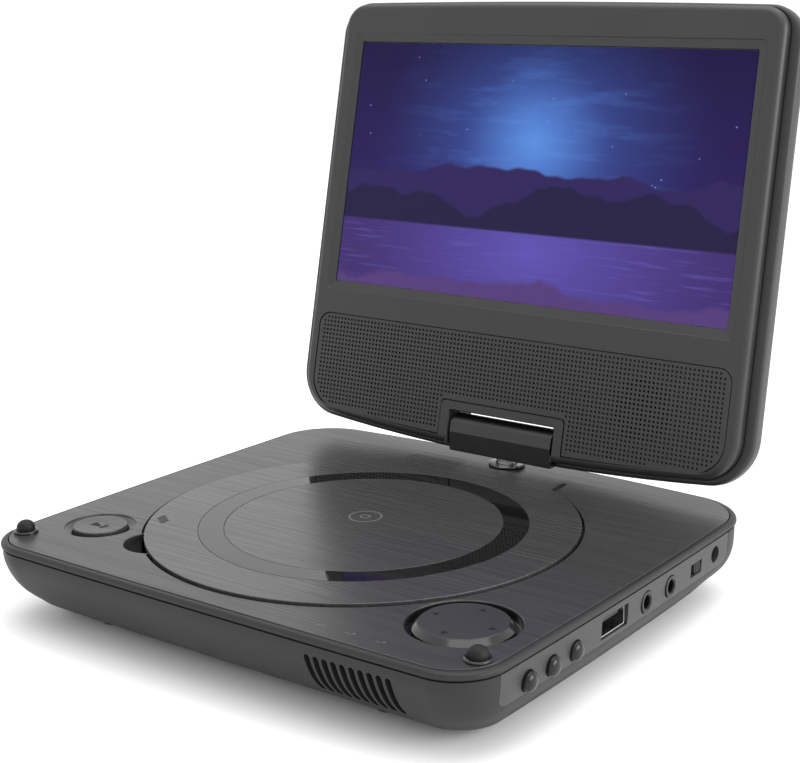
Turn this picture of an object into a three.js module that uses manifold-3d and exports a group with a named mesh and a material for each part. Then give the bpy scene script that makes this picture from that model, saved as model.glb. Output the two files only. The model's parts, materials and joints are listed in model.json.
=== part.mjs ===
// A portable disc player: a flat base with a round disc lid, and a screen on a hinge that swivels and tilts.
// Millimetres, +Z up, the user sits at -Y. The base and the screen each have a group with their own axes:
// base group: the deck is z = 0, x = 0 is the middle of the base, y = 0 the middle of its deck;
// screen group: the origin is the tilt axis, +Y runs up the screen, +Z comes out of its face.
import * as THREE from "three";
import { mergeVertices } from "three/addons/utils/BufferGeometryUtils.js";
import Module from "manifold-3d";

const wasm = await Module();
wasm.setup();

// ---------- driving dimensions ----------
const GAP = 0.3; // clearance between neighbouring pieces
const DECK_HEIGHT = 25; // deck above the table
const FOOTPRINT_SHIFT = { x: -0.25, y: -15.215 }; // puts the middle of the footprint at the origin

// outline of the base casing at its widest level
const CASE = {
  halfWidth: 87.3,
  low: -76.8,
  high: 76.4,
  sideBow: 1.1,
  lowBow: 0.6,
  highBow: 4.6,
  lowRadius: 14,
  highRadius: 17,
};
const COVER_INSET = 1.9; // top cover edge inside the casing's edge
const COVER_THICK = 2;
const FLOOR = -21.4; // inner floor of the casing

// disc lid and the compartment below it
const DISC = { x: -3, y: -2.65 }; // spindle axis
const LID_RADIUS = 65;
const LID_TOP = 0.6;
const LID_UNDER = -1;
const LID_GAP = 0.9;
const TAB_HALF = 29.7; // half-width of the straight hinge tab behind the round lid
const TAB_BACK = 63.2;
const TAB_SLOT_BACK = 64.3;
const RING = { inner: 41.8, outer: 49.3 }; // gloss ring let into the lid
const LID_AXIS = { y: 60.5, z: -1.5, pin: 0.8, bore: 1.1, knuckle: 2.2 };
const WELL_RADIUS = 62.3;
const WELL_FLOOR = -8.5;

// controls on the deck
const PLAY = { x: -67.4, y: -48.6, radius: 8, dish: 10.5 };
const NAV = { x: 65.2, y: -48.5, recess: 15.2, rim: 13.5, face: 11.8 };
const SCOOP = { x: -42.9, y: -50.1, radius: 9, depth: 6 };
const BUMPER = { x: 81, y: -65.2, radius: 2.7, collar: 3.6, height: 3.8 };

// connectors and controls on the right side, each at its y and z
const PANEL = {
  front: -64.5,
  back: 58,
  low: -12,
  high: -2.2,
  inside: 85.5,
  lowRadius: 4,
  highRadius: 0.5,
};
const SIDE_BUTTONS = [-52.7, -41.8, -30.7];
const SIDE_BUTTON = { z: -8.3, radius: 2.7 };
const USB = { y: -10.9, z: -7.3, width: 13.9, height: 6.2 };
const JACKS = { headphone_jack: 6.5, av_jack: 20.5 };
const JACK = { z: -7.5, barrel: 3.1, bore: 1.85 };
const SWITCH = { front: 33.3, back: 40.2, low: -9.4, high: -5.4, knob: 3 };
const DC = { y: 49.3, z: -6.9, bore: 2.5, pin: 0.6 };
const BOARD_TOP = -10.8;

const VENTS = { first: 36.9, pitch: 2.82, count: 10, width: 1.2, low: -17, high: -5.2 };
const CASING_SCREWS = [[-50, -60], [50, -60], [-60, 53], [60, 53]];
const FEET = [[-52, -40], [52, -40], [-56, 40], [56, 40]];
const FOOT = { radius: 5.1, top: -23.2, recess: -22.9 };
const SCREW = { head: 2.5, shank: 1.1, clearance: 1.5, bite: 1.4 };

// drive below the disc compartment
const SLED = { near: 13, far: 29, half: 13, lens: 21 };
const RAILS = [-13.65, 8.35];
const RAIL_Z = -13.3;
const LEAD = { y: -19, z: -14.5, radius: 1.3 };

// hinge between base and screen
const HINGE = { y: 70.5, z: 9.6, halfWidth: 20, pin: 2.2 };
const LEAN = THREE.MathUtils.degToRad(12.1); // the screen leans back from upright

// screen, measured in its own axes
const DISPLAY = { up: 88.26, halfWidth: 77.04, halfHeight: 43.29, out: 4.3 };
const FACE = 5.5; // front face of the bezel
const BACK = -8; // back of the screen
const BEZEL = {
  halfWidth: 85.3,
  low: -0.3,
  high: 144.8,
  sideBow: 0,
  lowBow: 4.9,
  highBow: 0.9,
  lowRadius: 12,
  highRadius: 7.5,
};
const SHELL = {
  halfWidth: 89,
  low: -1.8,
  high: 146.0,
  sideBow: 0,
  lowBow: 5,
  highBow: 0.9,
  lowRadius: 14,
  highRadius: 11,
};
const CUTOUT = { halfWidth: 20.6, top: 6.36, wall: 1.6 };
const NOTCH = { halfWidth: 24.5, top: 9.76 }; // grille stays clear of the hinge cutout
const GRILLE = { halfWidth: 81, low: 0.2, high: 33.3, lowBow: 4.4, lowRadius: 9, highRadius: 4.5 };
const SPEAKERS = { x: 52, y: 16.5, radius: 12 };
const SCREEN_SCREWS = { x: 70, y: 139.4 };

// ---------- looks ----------
const LOOKS = {
  shell: { color: 0x3f4042, roughness: 0.55, metalness: 0 },
  deck: { color: 0x4a4b4d, roughness: 0.38, metalness: 0.2 },
  panel: { color: 0x5c5d5f, roughness: 0.6, metalness: 0 },
  gloss: { color: 0x111113, roughness: 0.08, metalness: 0 },
  rubber: { color: 0x1c1c1d, roughness: 0.85, metalness: 0 },
  black: { color: 0x161617, roughness: 0.6, metalness: 0 },
  steel: { color: 0xa9abad, roughness: 0.3, metalness: 1 },
  board: { color: 0x1f4a33, roughness: 0.6, metalness: 0 },
  cell: { color: 0x2b3f66, roughness: 0.5, metalness: 0 },
  lens: { color: 0x6f86b8, roughness: 0.05, metalness: 0 },
  display: { color: 0x2a1f66, roughness: 0.2, metalness: 0 },
  module: { color: 0x8f9092, roughness: 0.5, metalness: 0 },
};

// ---------- solids ----------
function solid(geometry) {
  const bare = geometry.clone();
  bare.deleteAttribute("normal");
  bare.deleteAttribute("uv");
  const merged = mergeVertices(bare, 1e-4);
  const vertProperties = new Float32Array(merged.attributes.position.array);
  const triVerts = new Uint32Array(merged.index.array);
  return new wasm.Manifold(new wasm.Mesh({ numProp: 3, vertProperties, triVerts }));
}

function toGeometry(body) {
  const mesh = body.getMesh();
  const geometry = new THREE.BufferGeometry();
  geometry.setAttribute("position", new THREE.BufferAttribute(mesh.vertProperties, 3));
  geometry.setIndex(new THREE.BufferAttribute(mesh.triVerts, 1));
  geometry.computeVertexNormals();
  return geometry;
}

const join = (...bodies) => bodies.reduce((sum, body) => sum.add(body));
const cut = (body, ...tools) => tools.reduce((rest, tool) => rest.subtract(tool), body);

// the x ends of box and barX may come in either order, so that one call makes a left and a right part
function box(x0, x1, y0, y1, z0, z1) {
  const geometry = new THREE.BoxGeometry(Math.abs(x1 - x0), y1 - y0, z1 - z0);
  return solid(geometry.translate((x0 + x1) / 2, (y0 + y1) / 2, (z0 + z1) / 2));
}

// a round bar; radiusTop differs from radius only on a cone
function barZ(x, y, radius, z0, z1, segments = 20, radiusTop = radius) {
  const geometry = new THREE.CylinderGeometry(radiusTop, radius, z1 - z0, segments);
  return solid(geometry.rotateX(Math.PI / 2).translate(x, y, (z0 + z1) / 2));
}

function barX(y, z, radius, x0, x1, segments = 16) {
  const geometry = new THREE.CylinderGeometry(radius, radius, Math.abs(x1 - x0), segments);
  return solid(geometry.rotateZ(-Math.PI / 2).translate((x0 + x1) / 2, y, z));
}

// a bar on the lid's hinge axis, from x0 to x1 away from the middle of the lid on one side
function lidAxisBar(side, radius, x0, x1) {
  return barX(LID_AXIS.y, LID_AXIS.z, radius, DISC.x + side * x0, DISC.x + side * x1, 12);
}

// turns a closed profile of [radius, height] pairs about a vertical axis
function turned(x, y, profile, segments = 24) {
  const points = profile.map(([radius, height]) => new THREE.Vector2(radius, height));
  const geometry = new THREE.LatheGeometry(points, segments);
  return solid(geometry.rotateX(Math.PI / 2).translate(x, y, 0));
}

function roundedRectangle(halfWidth, y0, y1, lowRadius, highRadius = lowRadius) {
  const shape = new THREE.Shape();
  shape.moveTo(-halfWidth + lowRadius, y0);
  shape.lineTo(halfWidth - lowRadius, y0);
  shape.absarc(halfWidth - lowRadius, y0 + lowRadius, lowRadius, -Math.PI / 2, 0);
  shape.lineTo(halfWidth, y1 - highRadius);
  shape.absarc(halfWidth - highRadius, y1 - highRadius, highRadius, 0, Math.PI / 2);
  shape.lineTo(-halfWidth + highRadius, y1);
  shape.absarc(-halfWidth + highRadius, y1 - highRadius, highRadius, Math.PI / 2, Math.PI);
  shape.lineTo(-halfWidth, y0 + lowRadius);
  shape.absarc(-halfWidth + lowRadius, y0 + lowRadius, lowRadius, Math.PI, Math.PI * 1.5);
  return shape;
}

function plate(shape, z0, z1) {
  const options = { depth: z1 - z0, bevelEnabled: false, curveSegments: 6 };
  return solid(new THREE.ExtrudeGeometry(shape, options).translate(0, 0, z0));
}

// the same with the shape standing in the y-z plane, from x0 to x1
function plateX(shape, x0, x1) {
  const options = { depth: x1 - x0, bevelEnabled: false, curveSegments: 6 };
  const turn = new THREE.Matrix4().makeBasis(
    new THREE.Vector3(0, 1, 0), new THREE.Vector3(0, 0, 1), new THREE.Vector3(1, 0, 0),
  );
  return solid(new THREE.ExtrudeGeometry(shape, options).translate(0, 0, x0).applyMatrix4(turn));
}

// A rounded rectangle with bowed sides, as a list of points running anticlockwise. The insets draw
// the sides in.
const CORNER_STEPS = 4;
const EDGE_STEPS = 4;

function outline(form, insets) {
  const { low, side, high } = insets;
  const half = form.halfWidth - side;
  const y0 = form.low + low;
  const y1 = form.high - high;
  const lowRadius = Math.max(form.lowRadius - side * 0.4, 3);
  const highRadius = Math.max(form.highRadius - side * 0.4, 3);
  const corners = [
    { x: half - lowRadius, y: y0 + lowRadius, radius: lowRadius, from: -90 },
    { x: half - highRadius, y: y1 - highRadius, radius: highRadius, from: 0 },
    { x: -half + highRadius, y: y1 - highRadius, radius: highRadius, from: 90 },
    { x: -half + lowRadius, y: y0 + lowRadius, radius: lowRadius, from: 180 },
  ];
  const raw = [];
  corners.forEach((corner, index) => {
    for (let step = 0; step <= CORNER_STEPS; step += 1) {
      const angle = THREE.MathUtils.degToRad(corner.from + (90 * step) / CORNER_STEPS);
      const x = corner.x + corner.radius * Math.cos(angle);
      raw.push([x, corner.y + corner.radius * Math.sin(angle)]);
    }
    const [fromX, fromY] = raw[raw.length - 1];
    const next = corners[(index + 1) % 4];
    const nextAngle = THREE.MathUtils.degToRad(next.from);
    const toX = next.x + next.radius * Math.cos(nextAngle);
    const toY = next.y + next.radius * Math.sin(nextAngle);
    for (let step = 1; step < EDGE_STEPS; step += 1) {
      const t = step / EDGE_STEPS;
      raw.push([fromX + (toX - fromX) * t, fromY + (toY - fromY) * t]);
    }
  });
  const middle = (y0 + y1) / 2;
  const reach = (y1 - y0) / 2;
  return raw.map(([x, y]) => {
    const across = x / half;
    const along = (y - middle) / reach;
    const endBow = along > 0 ? form.highBow : -form.lowBow;
    const sideShift = form.sideBow * (1 - along * along);
    return new THREE.Vector2(
      x + Math.sign(x) * across * across * sideShift,
      y + endBow * along * along * (1 - across * across),
    );
  });
}

// joins outlines with the same number of points into a closed solid, lowest level first
function loft(levels) {
  const count = levels[0].points.length;
  const positions = levels.flatMap((level) => level.points.flatMap((p) => [p.x, p.y, level.z]));
  const index = [];
  for (let level = 0; level < levels.length - 1; level += 1) {
    for (let i = 0; i < count; i += 1) {
      const a = level * count + i;
      const b = level * count + ((i + 1) % count);
      index.push(a, b, b + count, a, b + count, a + count);
    }
  }
  const last = (levels.length - 1) * count;
  for (const [a, b, c] of THREE.ShapeUtils.triangulateShape(levels[0].points, [])) {
    index.push(a, c, b);
  }
  for (const [a, b, c] of THREE.ShapeUtils.triangulateShape(levels[levels.length - 1].points, [])) {
    index.push(last + a, last + b, last + c);
  }
  const geometry = new THREE.BufferGeometry();
  geometry.setAttribute("position", new THREE.Float32BufferAttribute(positions, 3));
  geometry.setIndex(index);
  return solid(geometry);
}

const even = (inset) => ({ low: inset, side: inset, high: inset });
const level = (form, z, insets) => ({ z, points: outline(form, insets) });

// ---------- the model ----------
const player = new THREE.Group();
const base = new THREE.Group();
base.position.set(FOOTPRINT_SHIFT.x, FOOTPRINT_SHIFT.y, DECK_HEIGHT);
const screen = new THREE.Group();
screen.position.set(0, HINGE.y, HINGE.z);
screen.rotation.x = Math.PI / 2 - LEAN;
base.add(screen);
player.add(base);

function place(group, name, look, body) {
  const mesh = new THREE.Mesh(toGeometry(body), new THREE.MeshStandardMaterial(LOOKS[look]));
  mesh.name = name;
  group.add(mesh);
}

// ---------- base: casing ----------
// [z, inset at the front, at the sides, at the back]
const CASE_LEVELS = [
  [-23.5, 22, 13.5, 14],
  [-22.7, 17, 10.5, 11],
  [-20.6, 11.8, 8.4, 9],
  [-18, 8.6, 6, 6.4],
  [-14.4, 5, 2.6, 2.6],
  [-10.2, 2.4, 0.9, 0.9],
  [-5.6, 0.6, 0.5, 0.5],
  [-1.4, 0, 0, 0],
  [-0.6, 0.4, 0.4, 0.4],
  [-0.2, 1.2, 1.2, 1.2],
];
const CAVITY_LEVELS = [
  [FLOOR, 17.5, 12.5, 13],
  [-18, 12, 8.8, 9.2],
  [-13, 6.8, 4.4, 4.4],
  [-7, 3.4, 2.6, 2.6],
  [-3, COVER_INSET - GAP, COVER_INSET - GAP, COVER_INSET - GAP],
  [1, COVER_INSET - GAP, COVER_INSET - GAP, COVER_INSET - GAP],
];

function caseLoft(rows) {
  return loft(rows.map(([z, low, side, high]) => level(CASE, z, { low, side, high })));
}

const caseForm = caseLoft(CASE_LEVELS);

// the outline of the port panel, seen from the side, pushed out through the casing wall
function panelForm(grow, from) {
  const { front, back, low, high, lowRadius, highRadius } = PANEL;
  const half = (back - front) / 2 + grow;
  const shape = roundedRectangle(half, low - grow, high + grow, lowRadius + grow, highRadius + grow);
  return plateX(shape, from, 92).translate([0, (front + back) / 2, 0]);
}

function bottomCasing() {
  let casing = cut(caseForm, caseLoft(CAVITY_LEVELS));
  const bosses = CASING_SCREWS.map(([x, y]) => barZ(x, y, 3.4, FLOOR - 1, -12.6, 14));
  casing = join(casing, ...bosses.map((boss) => boss.intersect(caseForm)));
  for (const [x, y] of CASING_SCREWS) {
    casing = cut(
      casing,
      barZ(x, y, SCREW.head + 0.4, -24, -19.6, 14),
      barZ(x, y, SCREW.clearance, -20, -12, 10),
    );
  }
  for (const [x, y] of FEET) {
    casing = cut(casing, barZ(x, y, FOOT.radius + GAP, -24, FOOT.recess, 18));
  }
  for (let slot = 0; slot < VENTS.count; slot += 1) {
    const x = VENTS.first + slot * VENTS.pitch;
    const half = VENTS.width / 2;
    casing = cut(casing, box(x - half, x + half, -80, -64, VENTS.low, VENTS.high));
  }
  return cut(casing, panelForm(GAP, 80));
}
place(base, "bottom_casing", "shell", bottomCasing());

function lidOpening(grow) {
  const round = barZ(DISC.x, DISC.y, LID_RADIUS + grow, -4, 2, 56);
  const half = TAB_HALF + grow;
  return join(round, box(DISC.x - half, DISC.x + half, 40, TAB_SLOT_BACK, -4, 2));
}

function topCover() {
  let cover = loft([
    level(CASE, -COVER_THICK, even(COVER_INSET)),
    level(CASE, -0.3, even(COVER_INSET)),
    level(CASE, 0, even(COVER_INSET + 0.3)),
  ]);
  const cups = [
    barZ(NAV.x, NAV.y, NAV.recess + 1.2, -3.8, -1, 28),
    barZ(SCOOP.x, SCOOP.y, SCOOP.radius + 1.4, -SCOOP.depth - 1.3, -1, 20),
  ];
  const bosses = CASING_SCREWS.map(([x, y]) => barZ(x, y, 3, -12.2, -1, 14));
  const lugs = [-1, 1].map((side) => {
    return box(DISC.x + side * 30.9, DISC.x + side * 35, 58.2, 62.8, -4.2, -1);
  });
  cover = join(cover, ...cups, ...bosses, ...lugs);
  cover = cut(
    cover,
    lidOpening(LID_GAP),
    barZ(DISC.x, DISC.y, LID_RADIUS + LID_GAP, -10, 2, 56),
    barZ(NAV.x, NAV.y, NAV.recess, -2.8, 2, 28),
    barZ(NAV.x, NAV.y, 3, -5, 2, 14),
    barZ(PLAY.x, PLAY.y, PLAY.radius + GAP, -4, 2, 24),
    barZ(PLAY.x, PLAY.y, PLAY.radius + GAP, -1.4, 0.01, 24, PLAY.dish),
    barZ(SCOOP.x, SCOOP.y, SCOOP.radius, -SCOOP.depth, 2, 20),
    barZ(0, HINGE.y, 3.9, -4, 2, 20),
  );
  for (const side of [-1, 1]) {
    cover = cut(cover, barZ(side * BUMPER.x, BUMPER.y, 1.9, -4, 2, 12));
    cover = cut(cover, lidAxisBar(side, LID_AXIS.bore, 29, 34.3));
  }
  for (const [x, y] of CASING_SCREWS) {
    cover = cut(cover, barZ(x, y, SCREW.bite, -13, -4, 10));
  }
  return cover;
}
place(base, "top_cover", "deck", topCover());

FEET.forEach(([x, y], index) => {
  const { radius, top } = FOOT;
  const under = -DECK_HEIGHT;
  const foot = turned(
    x, y, [[0, under], [radius - 0.5, under], [radius, under + 0.5], [radius, top], [0, top]], 18,
  );
  place(base, `foot_${index + 1}`, "rubber", foot);
});

CASING_SCREWS.forEach(([x, y], index) => {
  const screw = join(
    barZ(x, y, SCREW.head, -21.5, -19.9, 14),
    barZ(x, y, SCREW.shank, -20.5, -5, 10),
  );
  const slot = box(x - 1.8, x + 1.8, y - 0.3, y + 0.3, -22, -20.8);
  place(base, `casing_screw_${index + 1}`, "steel", cut(screw, slot));
});

for (const [name, side] of [["bumper_left", -1], ["bumper_right", 1]]) {
  const { collar, radius, height } = BUMPER;
  const profile = [
    [0, -3], [1.6, -3], [1.6, GAP], [collar, GAP], [collar, 0.8], [radius, 0.9],
    [radius, height - 2], [radius * 0.87, height - 0.9], [radius * 0.5, height - 0.2], [0, height],
  ];
  place(base, name, "rubber", turned(side * BUMPER.x, BUMPER.y, profile, 16));
}

// ---------- base: right side ----------
function portPanel() {
  let panel = caseForm.intersect(panelForm(0, PANEL.inside));
  const { y, z, width, height } = USB;
  panel = cut(
    panel,
    box(80, 92, y - width / 2, y + width / 2, z - height / 2, z + height / 2),
    box(80, 92, SWITCH.front, SWITCH.back, SWITCH.low, SWITCH.high),
    barX(DC.y, DC.z, DC.bore, 80, 92, 16),
  );
  for (const button of SIDE_BUTTONS) {
    panel = cut(panel, barX(button, SIDE_BUTTON.z, SIDE_BUTTON.radius + GAP, 80, 92, 16));
  }
  for (const jack of Object.values(JACKS)) {
    panel = cut(panel, barX(jack, JACK.z, JACK.barrel + GAP, 80, 92, 16));
  }
  return panel;
}
place(base, "port_panel", "panel", portPanel());

SIDE_BUTTONS.forEach((y, index) => {
  const { radius } = SIDE_BUTTON;
  const profile = [
    [0, 84.2], [3.5, 84.2], [3.5, 85.1], [radius, 85.1], [radius, 88.3],
    [radius * 0.9, 88.9], [radius * 0.55, 89.35], [0, 89.5],
  ];
  const points = profile.map(([r, x]) => new THREE.Vector2(r, x));
  const geometry = new THREE.LatheGeometry(points, 16);
  const button = solid(geometry.rotateZ(-Math.PI / 2).translate(0, y, SIDE_BUTTON.z));
  place(base, `side_button_${index + 1}`, "panel", button);
});

function usbPort() {
  const { y, z } = USB;
  const shell = box(73, 86.9, y - 6.65, y + 6.65, z - 2.8, z + 2.8);
  const socket = box(73.6, 90, y - 6.25, y + 6.25, z - 2.4, z + 2.4);
  const tongue = box(73.3, 85.6, y - 5.5, y + 5.5, z + 0.3, z + 1.9);
  return join(cut(shell, socket), tongue);
}
place(base, "usb_port", "steel", usbPort());

for (const [name, y] of Object.entries(JACKS)) {
  const housing = box(73, 85.2, y - 3.9, y + 3.9, BOARD_TOP + GAP, -4.4);
  const barrel = barX(y, JACK.z, JACK.barrel, 85, 88.1, 16);
  const bore = barX(y, JACK.z, JACK.bore, 74.5, 90, 14);
  place(base, name, "black", cut(join(housing, barrel), bore));
}

function dcJack() {
  const { y, z, bore, pin } = DC;
  const housing = box(73, 85.2, y - 4.4, y + 4.4, BOARD_TOP + GAP, z + 3.8);
  return join(cut(housing, barX(y, z, bore, 75, 90, 16)), barX(y, z, pin, 74, 84.4, 8));
}
place(base, "dc_jack", "black", dcJack());

function switchBody() {
  const { front, back, low, high } = SWITCH;
  const housing = box(78, 85.2, front - 1.6, back + 1.6, BOARD_TOP + GAP, high + 0.9);
  return cut(housing, box(81.5, 90, front - 0.1, back + 0.1, low - 0.1, high + 0.1));
}
place(base, "switch_body", "black", switchBody());

const knobBack = SWITCH.back - 0.2;
const knob = box(82, 87.2, knobBack - SWITCH.knob, knobBack, SWITCH.low + 0.2, SWITCH.high - 0.2);
place(base, "switch_slider", "black", knob);

function mainBoard() {
  const board = box(64.6, 82.6, -57, 52, BOARD_TOP - 1.6, BOARD_TOP);
  const switches = SIDE_BUTTONS.map((y) => box(79, 82.9, y - 3, y + 3, BOARD_TOP - 0.5, -5.6));
  const chips = [[-26, -12], [0, 9], [24, 33]].map(([y0, y1]) => {
    return box(65.4, 72.6, y0, y1, BOARD_TOP - 0.5, BOARD_TOP + 1.4);
  });
  return join(board, ...switches, ...chips);
}
place(base, "main_board", "board", mainBoard());

// ---------- base: deck controls ----------
const playProfile = [
  [0, -3.3], [9.4, -3.3], [9.4, -2.3], [PLAY.radius, -2.3], [PLAY.radius, -0.3],
  [PLAY.radius - 0.5, 0.2], [PLAY.radius - 1.2, 0.1], [0, -0.1],
];
place(base, "play_button", "deck", turned(PLAY.x, PLAY.y, playProfile, 24));

const padProfile = [
  [0, -0.9], [12, -0.9], [12, -1.8], [NAV.rim, -1.8], [NAV.rim, -0.9], [NAV.face, 0.5], [0, 0.5],
];
place(base, "nav_pad", "deck", turned(NAV.x, NAV.y, padProfile, 28));
const spiderProfile = [[0, -6], [1.8, -6], [1.8, -2], [5, -2], [5, -1.2], [0, -1.2]];
place(base, "nav_spider", "black", turned(NAV.x, NAV.y, spiderProfile, 14));

// ---------- base: disc compartment and drive ----------
const tabClearance = box(DISC.x - 36, DISC.x + 36, 58.9, 70, -7, 0);
const knuckleClearance = [-1, 1].map((side) => {
  const middle = DISC.x + side * 28;
  return box(middle - 3, middle + 3, 57.6, 70, -7, 0);
});

function discWell() {
  const outside = WELL_RADIUS + 1.5;
  const underside = WELL_FLOOR - 1.5;
  const flange = [
    [0, underside], [outside, underside], [outside, -3.6], [67.5, -3.6], [67.5, -2.3],
    [WELL_RADIUS, -2.3], [WELL_RADIUS, WELL_FLOOR], [0, WELL_FLOOR],
  ];
  const inside = barZ(DISC.x, DISC.y, outside, -9, -2.45, 56);
  const scoopRoom = barZ(SCOOP.x, SCOOP.y, SCOOP.radius + 1.8, -7.7, 0, 16);
  return cut(
    turned(DISC.x, DISC.y, flange, 56),
    cut(tabClearance, inside),
    ...knuckleClearance,
    cut(scoopRoom, barZ(DISC.x, DISC.y, outside, -9, 0, 56)),
    barZ(DISC.x, DISC.y, 5, -12, 0, 20),
    box(13.5, 58.3, DISC.y - 7, DISC.y + 7, -12, -8),
    barZ(NAV.x, NAV.y, NAV.recess + 1.5, -4, 0, 28),
  );
}
place(base, "disc_well", "black", discWell());

function loaderChassis() {
  const deck = box(-30, 64.1, -36, 32, -12.2, -11);
  const holders = [[9, 11.5], [62.6, 64.1]].flatMap(([x0, x1]) => {
    return RAILS.map((y) => box(x0, x1, y - 2.6, y + 2.6, -15.6, -11));
  });
  let chassis = cut(
    deck,
    box(11.5, 62.6, LEAD.y - 3.6, RAILS[1] + 4, -13, -10),
    box(-9, 12, LEAD.y - 3.6, LEAD.y + 3.6, -13, -10),
    barZ(DISC.x, DISC.y, 4, -13, -10, 20),
  );
  chassis = join(chassis, ...holders);
  for (const y of RAILS) {
    chassis = cut(chassis, barX(y, RAIL_Z, 1.8, 8, 66, 10));
  }
  return chassis;
}
place(base, "loader_chassis", "steel", loaderChassis());

const motor = cut(barZ(DISC.x, DISC.y, 11, -17, -12.5, 24), barZ(DISC.x, DISC.y, 1.6, -16.6, -12, 12));
place(base, "spindle_motor", "steel", motor);

const hubProfile = [
  [0, -16.2], [1.3, -16.2], [1.3, -9], [3, -9], [3, -8.1], [14, -8.1], [14, -6.7], [7.4, -6.7],
  [7.4, -4.6], [6.2, -3.7], [0, -3.7],
];
place(base, "spindle_hub", "black", turned(DISC.x, DISC.y, hubProfile, 24));

RAILS.forEach((y, index) => {
  place(base, `guide_rod_${index + 1}`, "steel", barX(y, RAIL_Z, 1.5, 9.2, 63.9, 10));
});

function pickupSled() {
  const { near, far, half, lens } = SLED;
  const body = box(near, far, DISC.y - half, DISC.y + half, -16.2, -10.8);
  const actuator = box(lens - 3.8, lens + 3.8, DISC.y - 5.5, DISC.y + 5.5, -11, -9.1);
  const nut = box(lens - 3, lens + 3, LEAD.y - 3, DISC.y, -16.2, -12);
  return cut(
    join(body, actuator, nut),
    ...RAILS.map((y) => barX(y, RAIL_Z, 1.8, 10, 32, 10)),
    barX(LEAD.y, LEAD.z, 1.6, 10, 32, 10),
  );
}
place(base, "pickup_sled", "black", pickupSled());
place(base, "pickup_lens", "lens", turned(
  SLED.lens, DISC.y, [[0, -8.8], [2.2, -8.8], [2.2, -8.4], [1.2, -8], [0, -7.9]], 14,
));
place(base, "lead_screw", "steel", barX(LEAD.y, LEAD.z, LEAD.radius, 8.6, 61.8, 10));
place(base, "sled_motor", "steel", barX(LEAD.y, LEAD.z, 3.1, -8, 8.3, 16));
place(base, "battery_pack", "cell", box(-62, -33, -40, 40, -20.8, -11.2));

// ---------- base: disc lid ----------
function discLid() {
  const { x, y } = DISC;
  const rim = [
    [0, LID_UNDER], [LID_RADIUS - 0.2, LID_UNDER], [LID_RADIUS, LID_UNDER + 0.3],
    [LID_RADIUS, LID_TOP - 0.3], [LID_RADIUS - 0.4, LID_TOP], [0, LID_TOP],
  ];
  const tab = box(x - TAB_HALF, x + TAB_HALF, 40, TAB_BACK, LID_UNDER, LID_TOP);
  const knuckles = [-1, 1].map((side) => {
    return lidAxisBar(side, LID_AXIS.knuckle, 25.7, 29.4);
  });
  const upper = box(-90, 90, 50, 70, LID_TOP, 5);
  const clamp = cut(barZ(x, y, 16, -3, 0, 24), barZ(x, y, 8.6, -4, LID_UNDER, 24));
  const groove = cut(
    barZ(x, y, RING.outer + GAP, -0.25, 2, 56),
    barZ(x, y, RING.inner - GAP, -1, 3, 56),
  );
  let lid = join(turned(x, y, rim, 56), tab, clamp, ...knuckles);
  lid = cut(lid, upper, groove);
  for (const side of [-1, 1]) {
    lid = cut(lid, lidAxisBar(side, LID_AXIS.bore, 25, 31));
  }
  return lid;
}
place(base, "disc_lid", "deck", discLid());

const ringProfile = [
  [RING.inner, 0.05], [RING.outer, 0.05], [RING.outer, LID_TOP], [RING.inner, LID_TOP],
  [RING.inner, 0.05],
];
place(base, "lid_ring", "gloss", turned(DISC.x, DISC.y, ringProfile, 56));

for (const [name, side] of [["lid_pin_left", -1], ["lid_pin_right", 1]]) {
  place(base, name, "steel", lidAxisBar(side, LID_AXIS.pin, 26.2, 34));
}

// ---------- hinge ----------
const bracket = cut(box(-16, 16, 64.7, 76.8, -4, -2.3), barZ(0, HINGE.y, 3.9, -5, 0, 20));
place(base, "swivel_bracket", "steel", bracket);

const postProfile = [[0, -6.4], [6, -6.4], [6, -4.4], [3.5, -4.4], [3.5, 2.9], [0, 2.9]];
place(base, "swivel_post", "steel", turned(0, HINGE.y, postProfile, 20));
const washer = cut(barZ(0, HINGE.y, 6.2, GAP, 1.1, 24), barZ(0, HINGE.y, 3.8, 0, 2, 20));
place(base, "swivel_washer", "steel", washer);

// [y, z] around the block's end face
const BLOCK_PROFILE = [
  [65.3, 3.4], [65.3, 9.9], [66.2, 13.4], [67.8, 14.8], [70.5, 15.3], [73.2, 14.7], [75.1, 13],
  [76, 9.9], [76, 5.6], [74.8, 3.6], [70.5, 3.2], [65.6, 3.2],
];

function hingeBlock() {
  const shape = new THREE.Shape(BLOCK_PROFILE.map(([y, z]) => new THREE.Vector2(y, z)));
  const block = plateX(shape, -HINGE.halfWidth, HINGE.halfWidth);
  const bores = [-1, 1].map((side) => {
    return barX(HINGE.y, HINGE.z, HINGE.pin + GAP, side * 11.7, side * 22, 16);
  });
  return cut(block, ...bores);
}
place(base, "hinge_block", "gloss", hingeBlock());

for (const [name, side] of [["left", -1], ["right", 1]]) {
  const pin = barX(HINGE.y, HINGE.z, HINGE.pin, side * 12, side * 27, 16);
  place(base, `tilt_pin_${name}`, "steel", pin);
  const arm = box(side * 22.6, side * 26.4, -2.6, 36, -3.2, 2.2);
  place(screen, `hinge_arm_${name}`, "steel", cut(arm, barX(0, 0, HINGE.pin + GAP, -30, 30, 16)));
}

// ---------- screen ----------
const hingeCutout = box(-CUTOUT.halfWidth, CUTOUT.halfWidth, -12, CUTOUT.top, -12, 12);
const cheekHalf = CUTOUT.halfWidth + CUTOUT.wall;
const hingeCheeks = box(-cheekHalf, cheekHalf, -12, CUTOUT.top + CUTOUT.wall, -12, 12);
const pinHole = barX(0, 0, HINGE.pin + GAP, -24, 24, 16);

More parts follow.
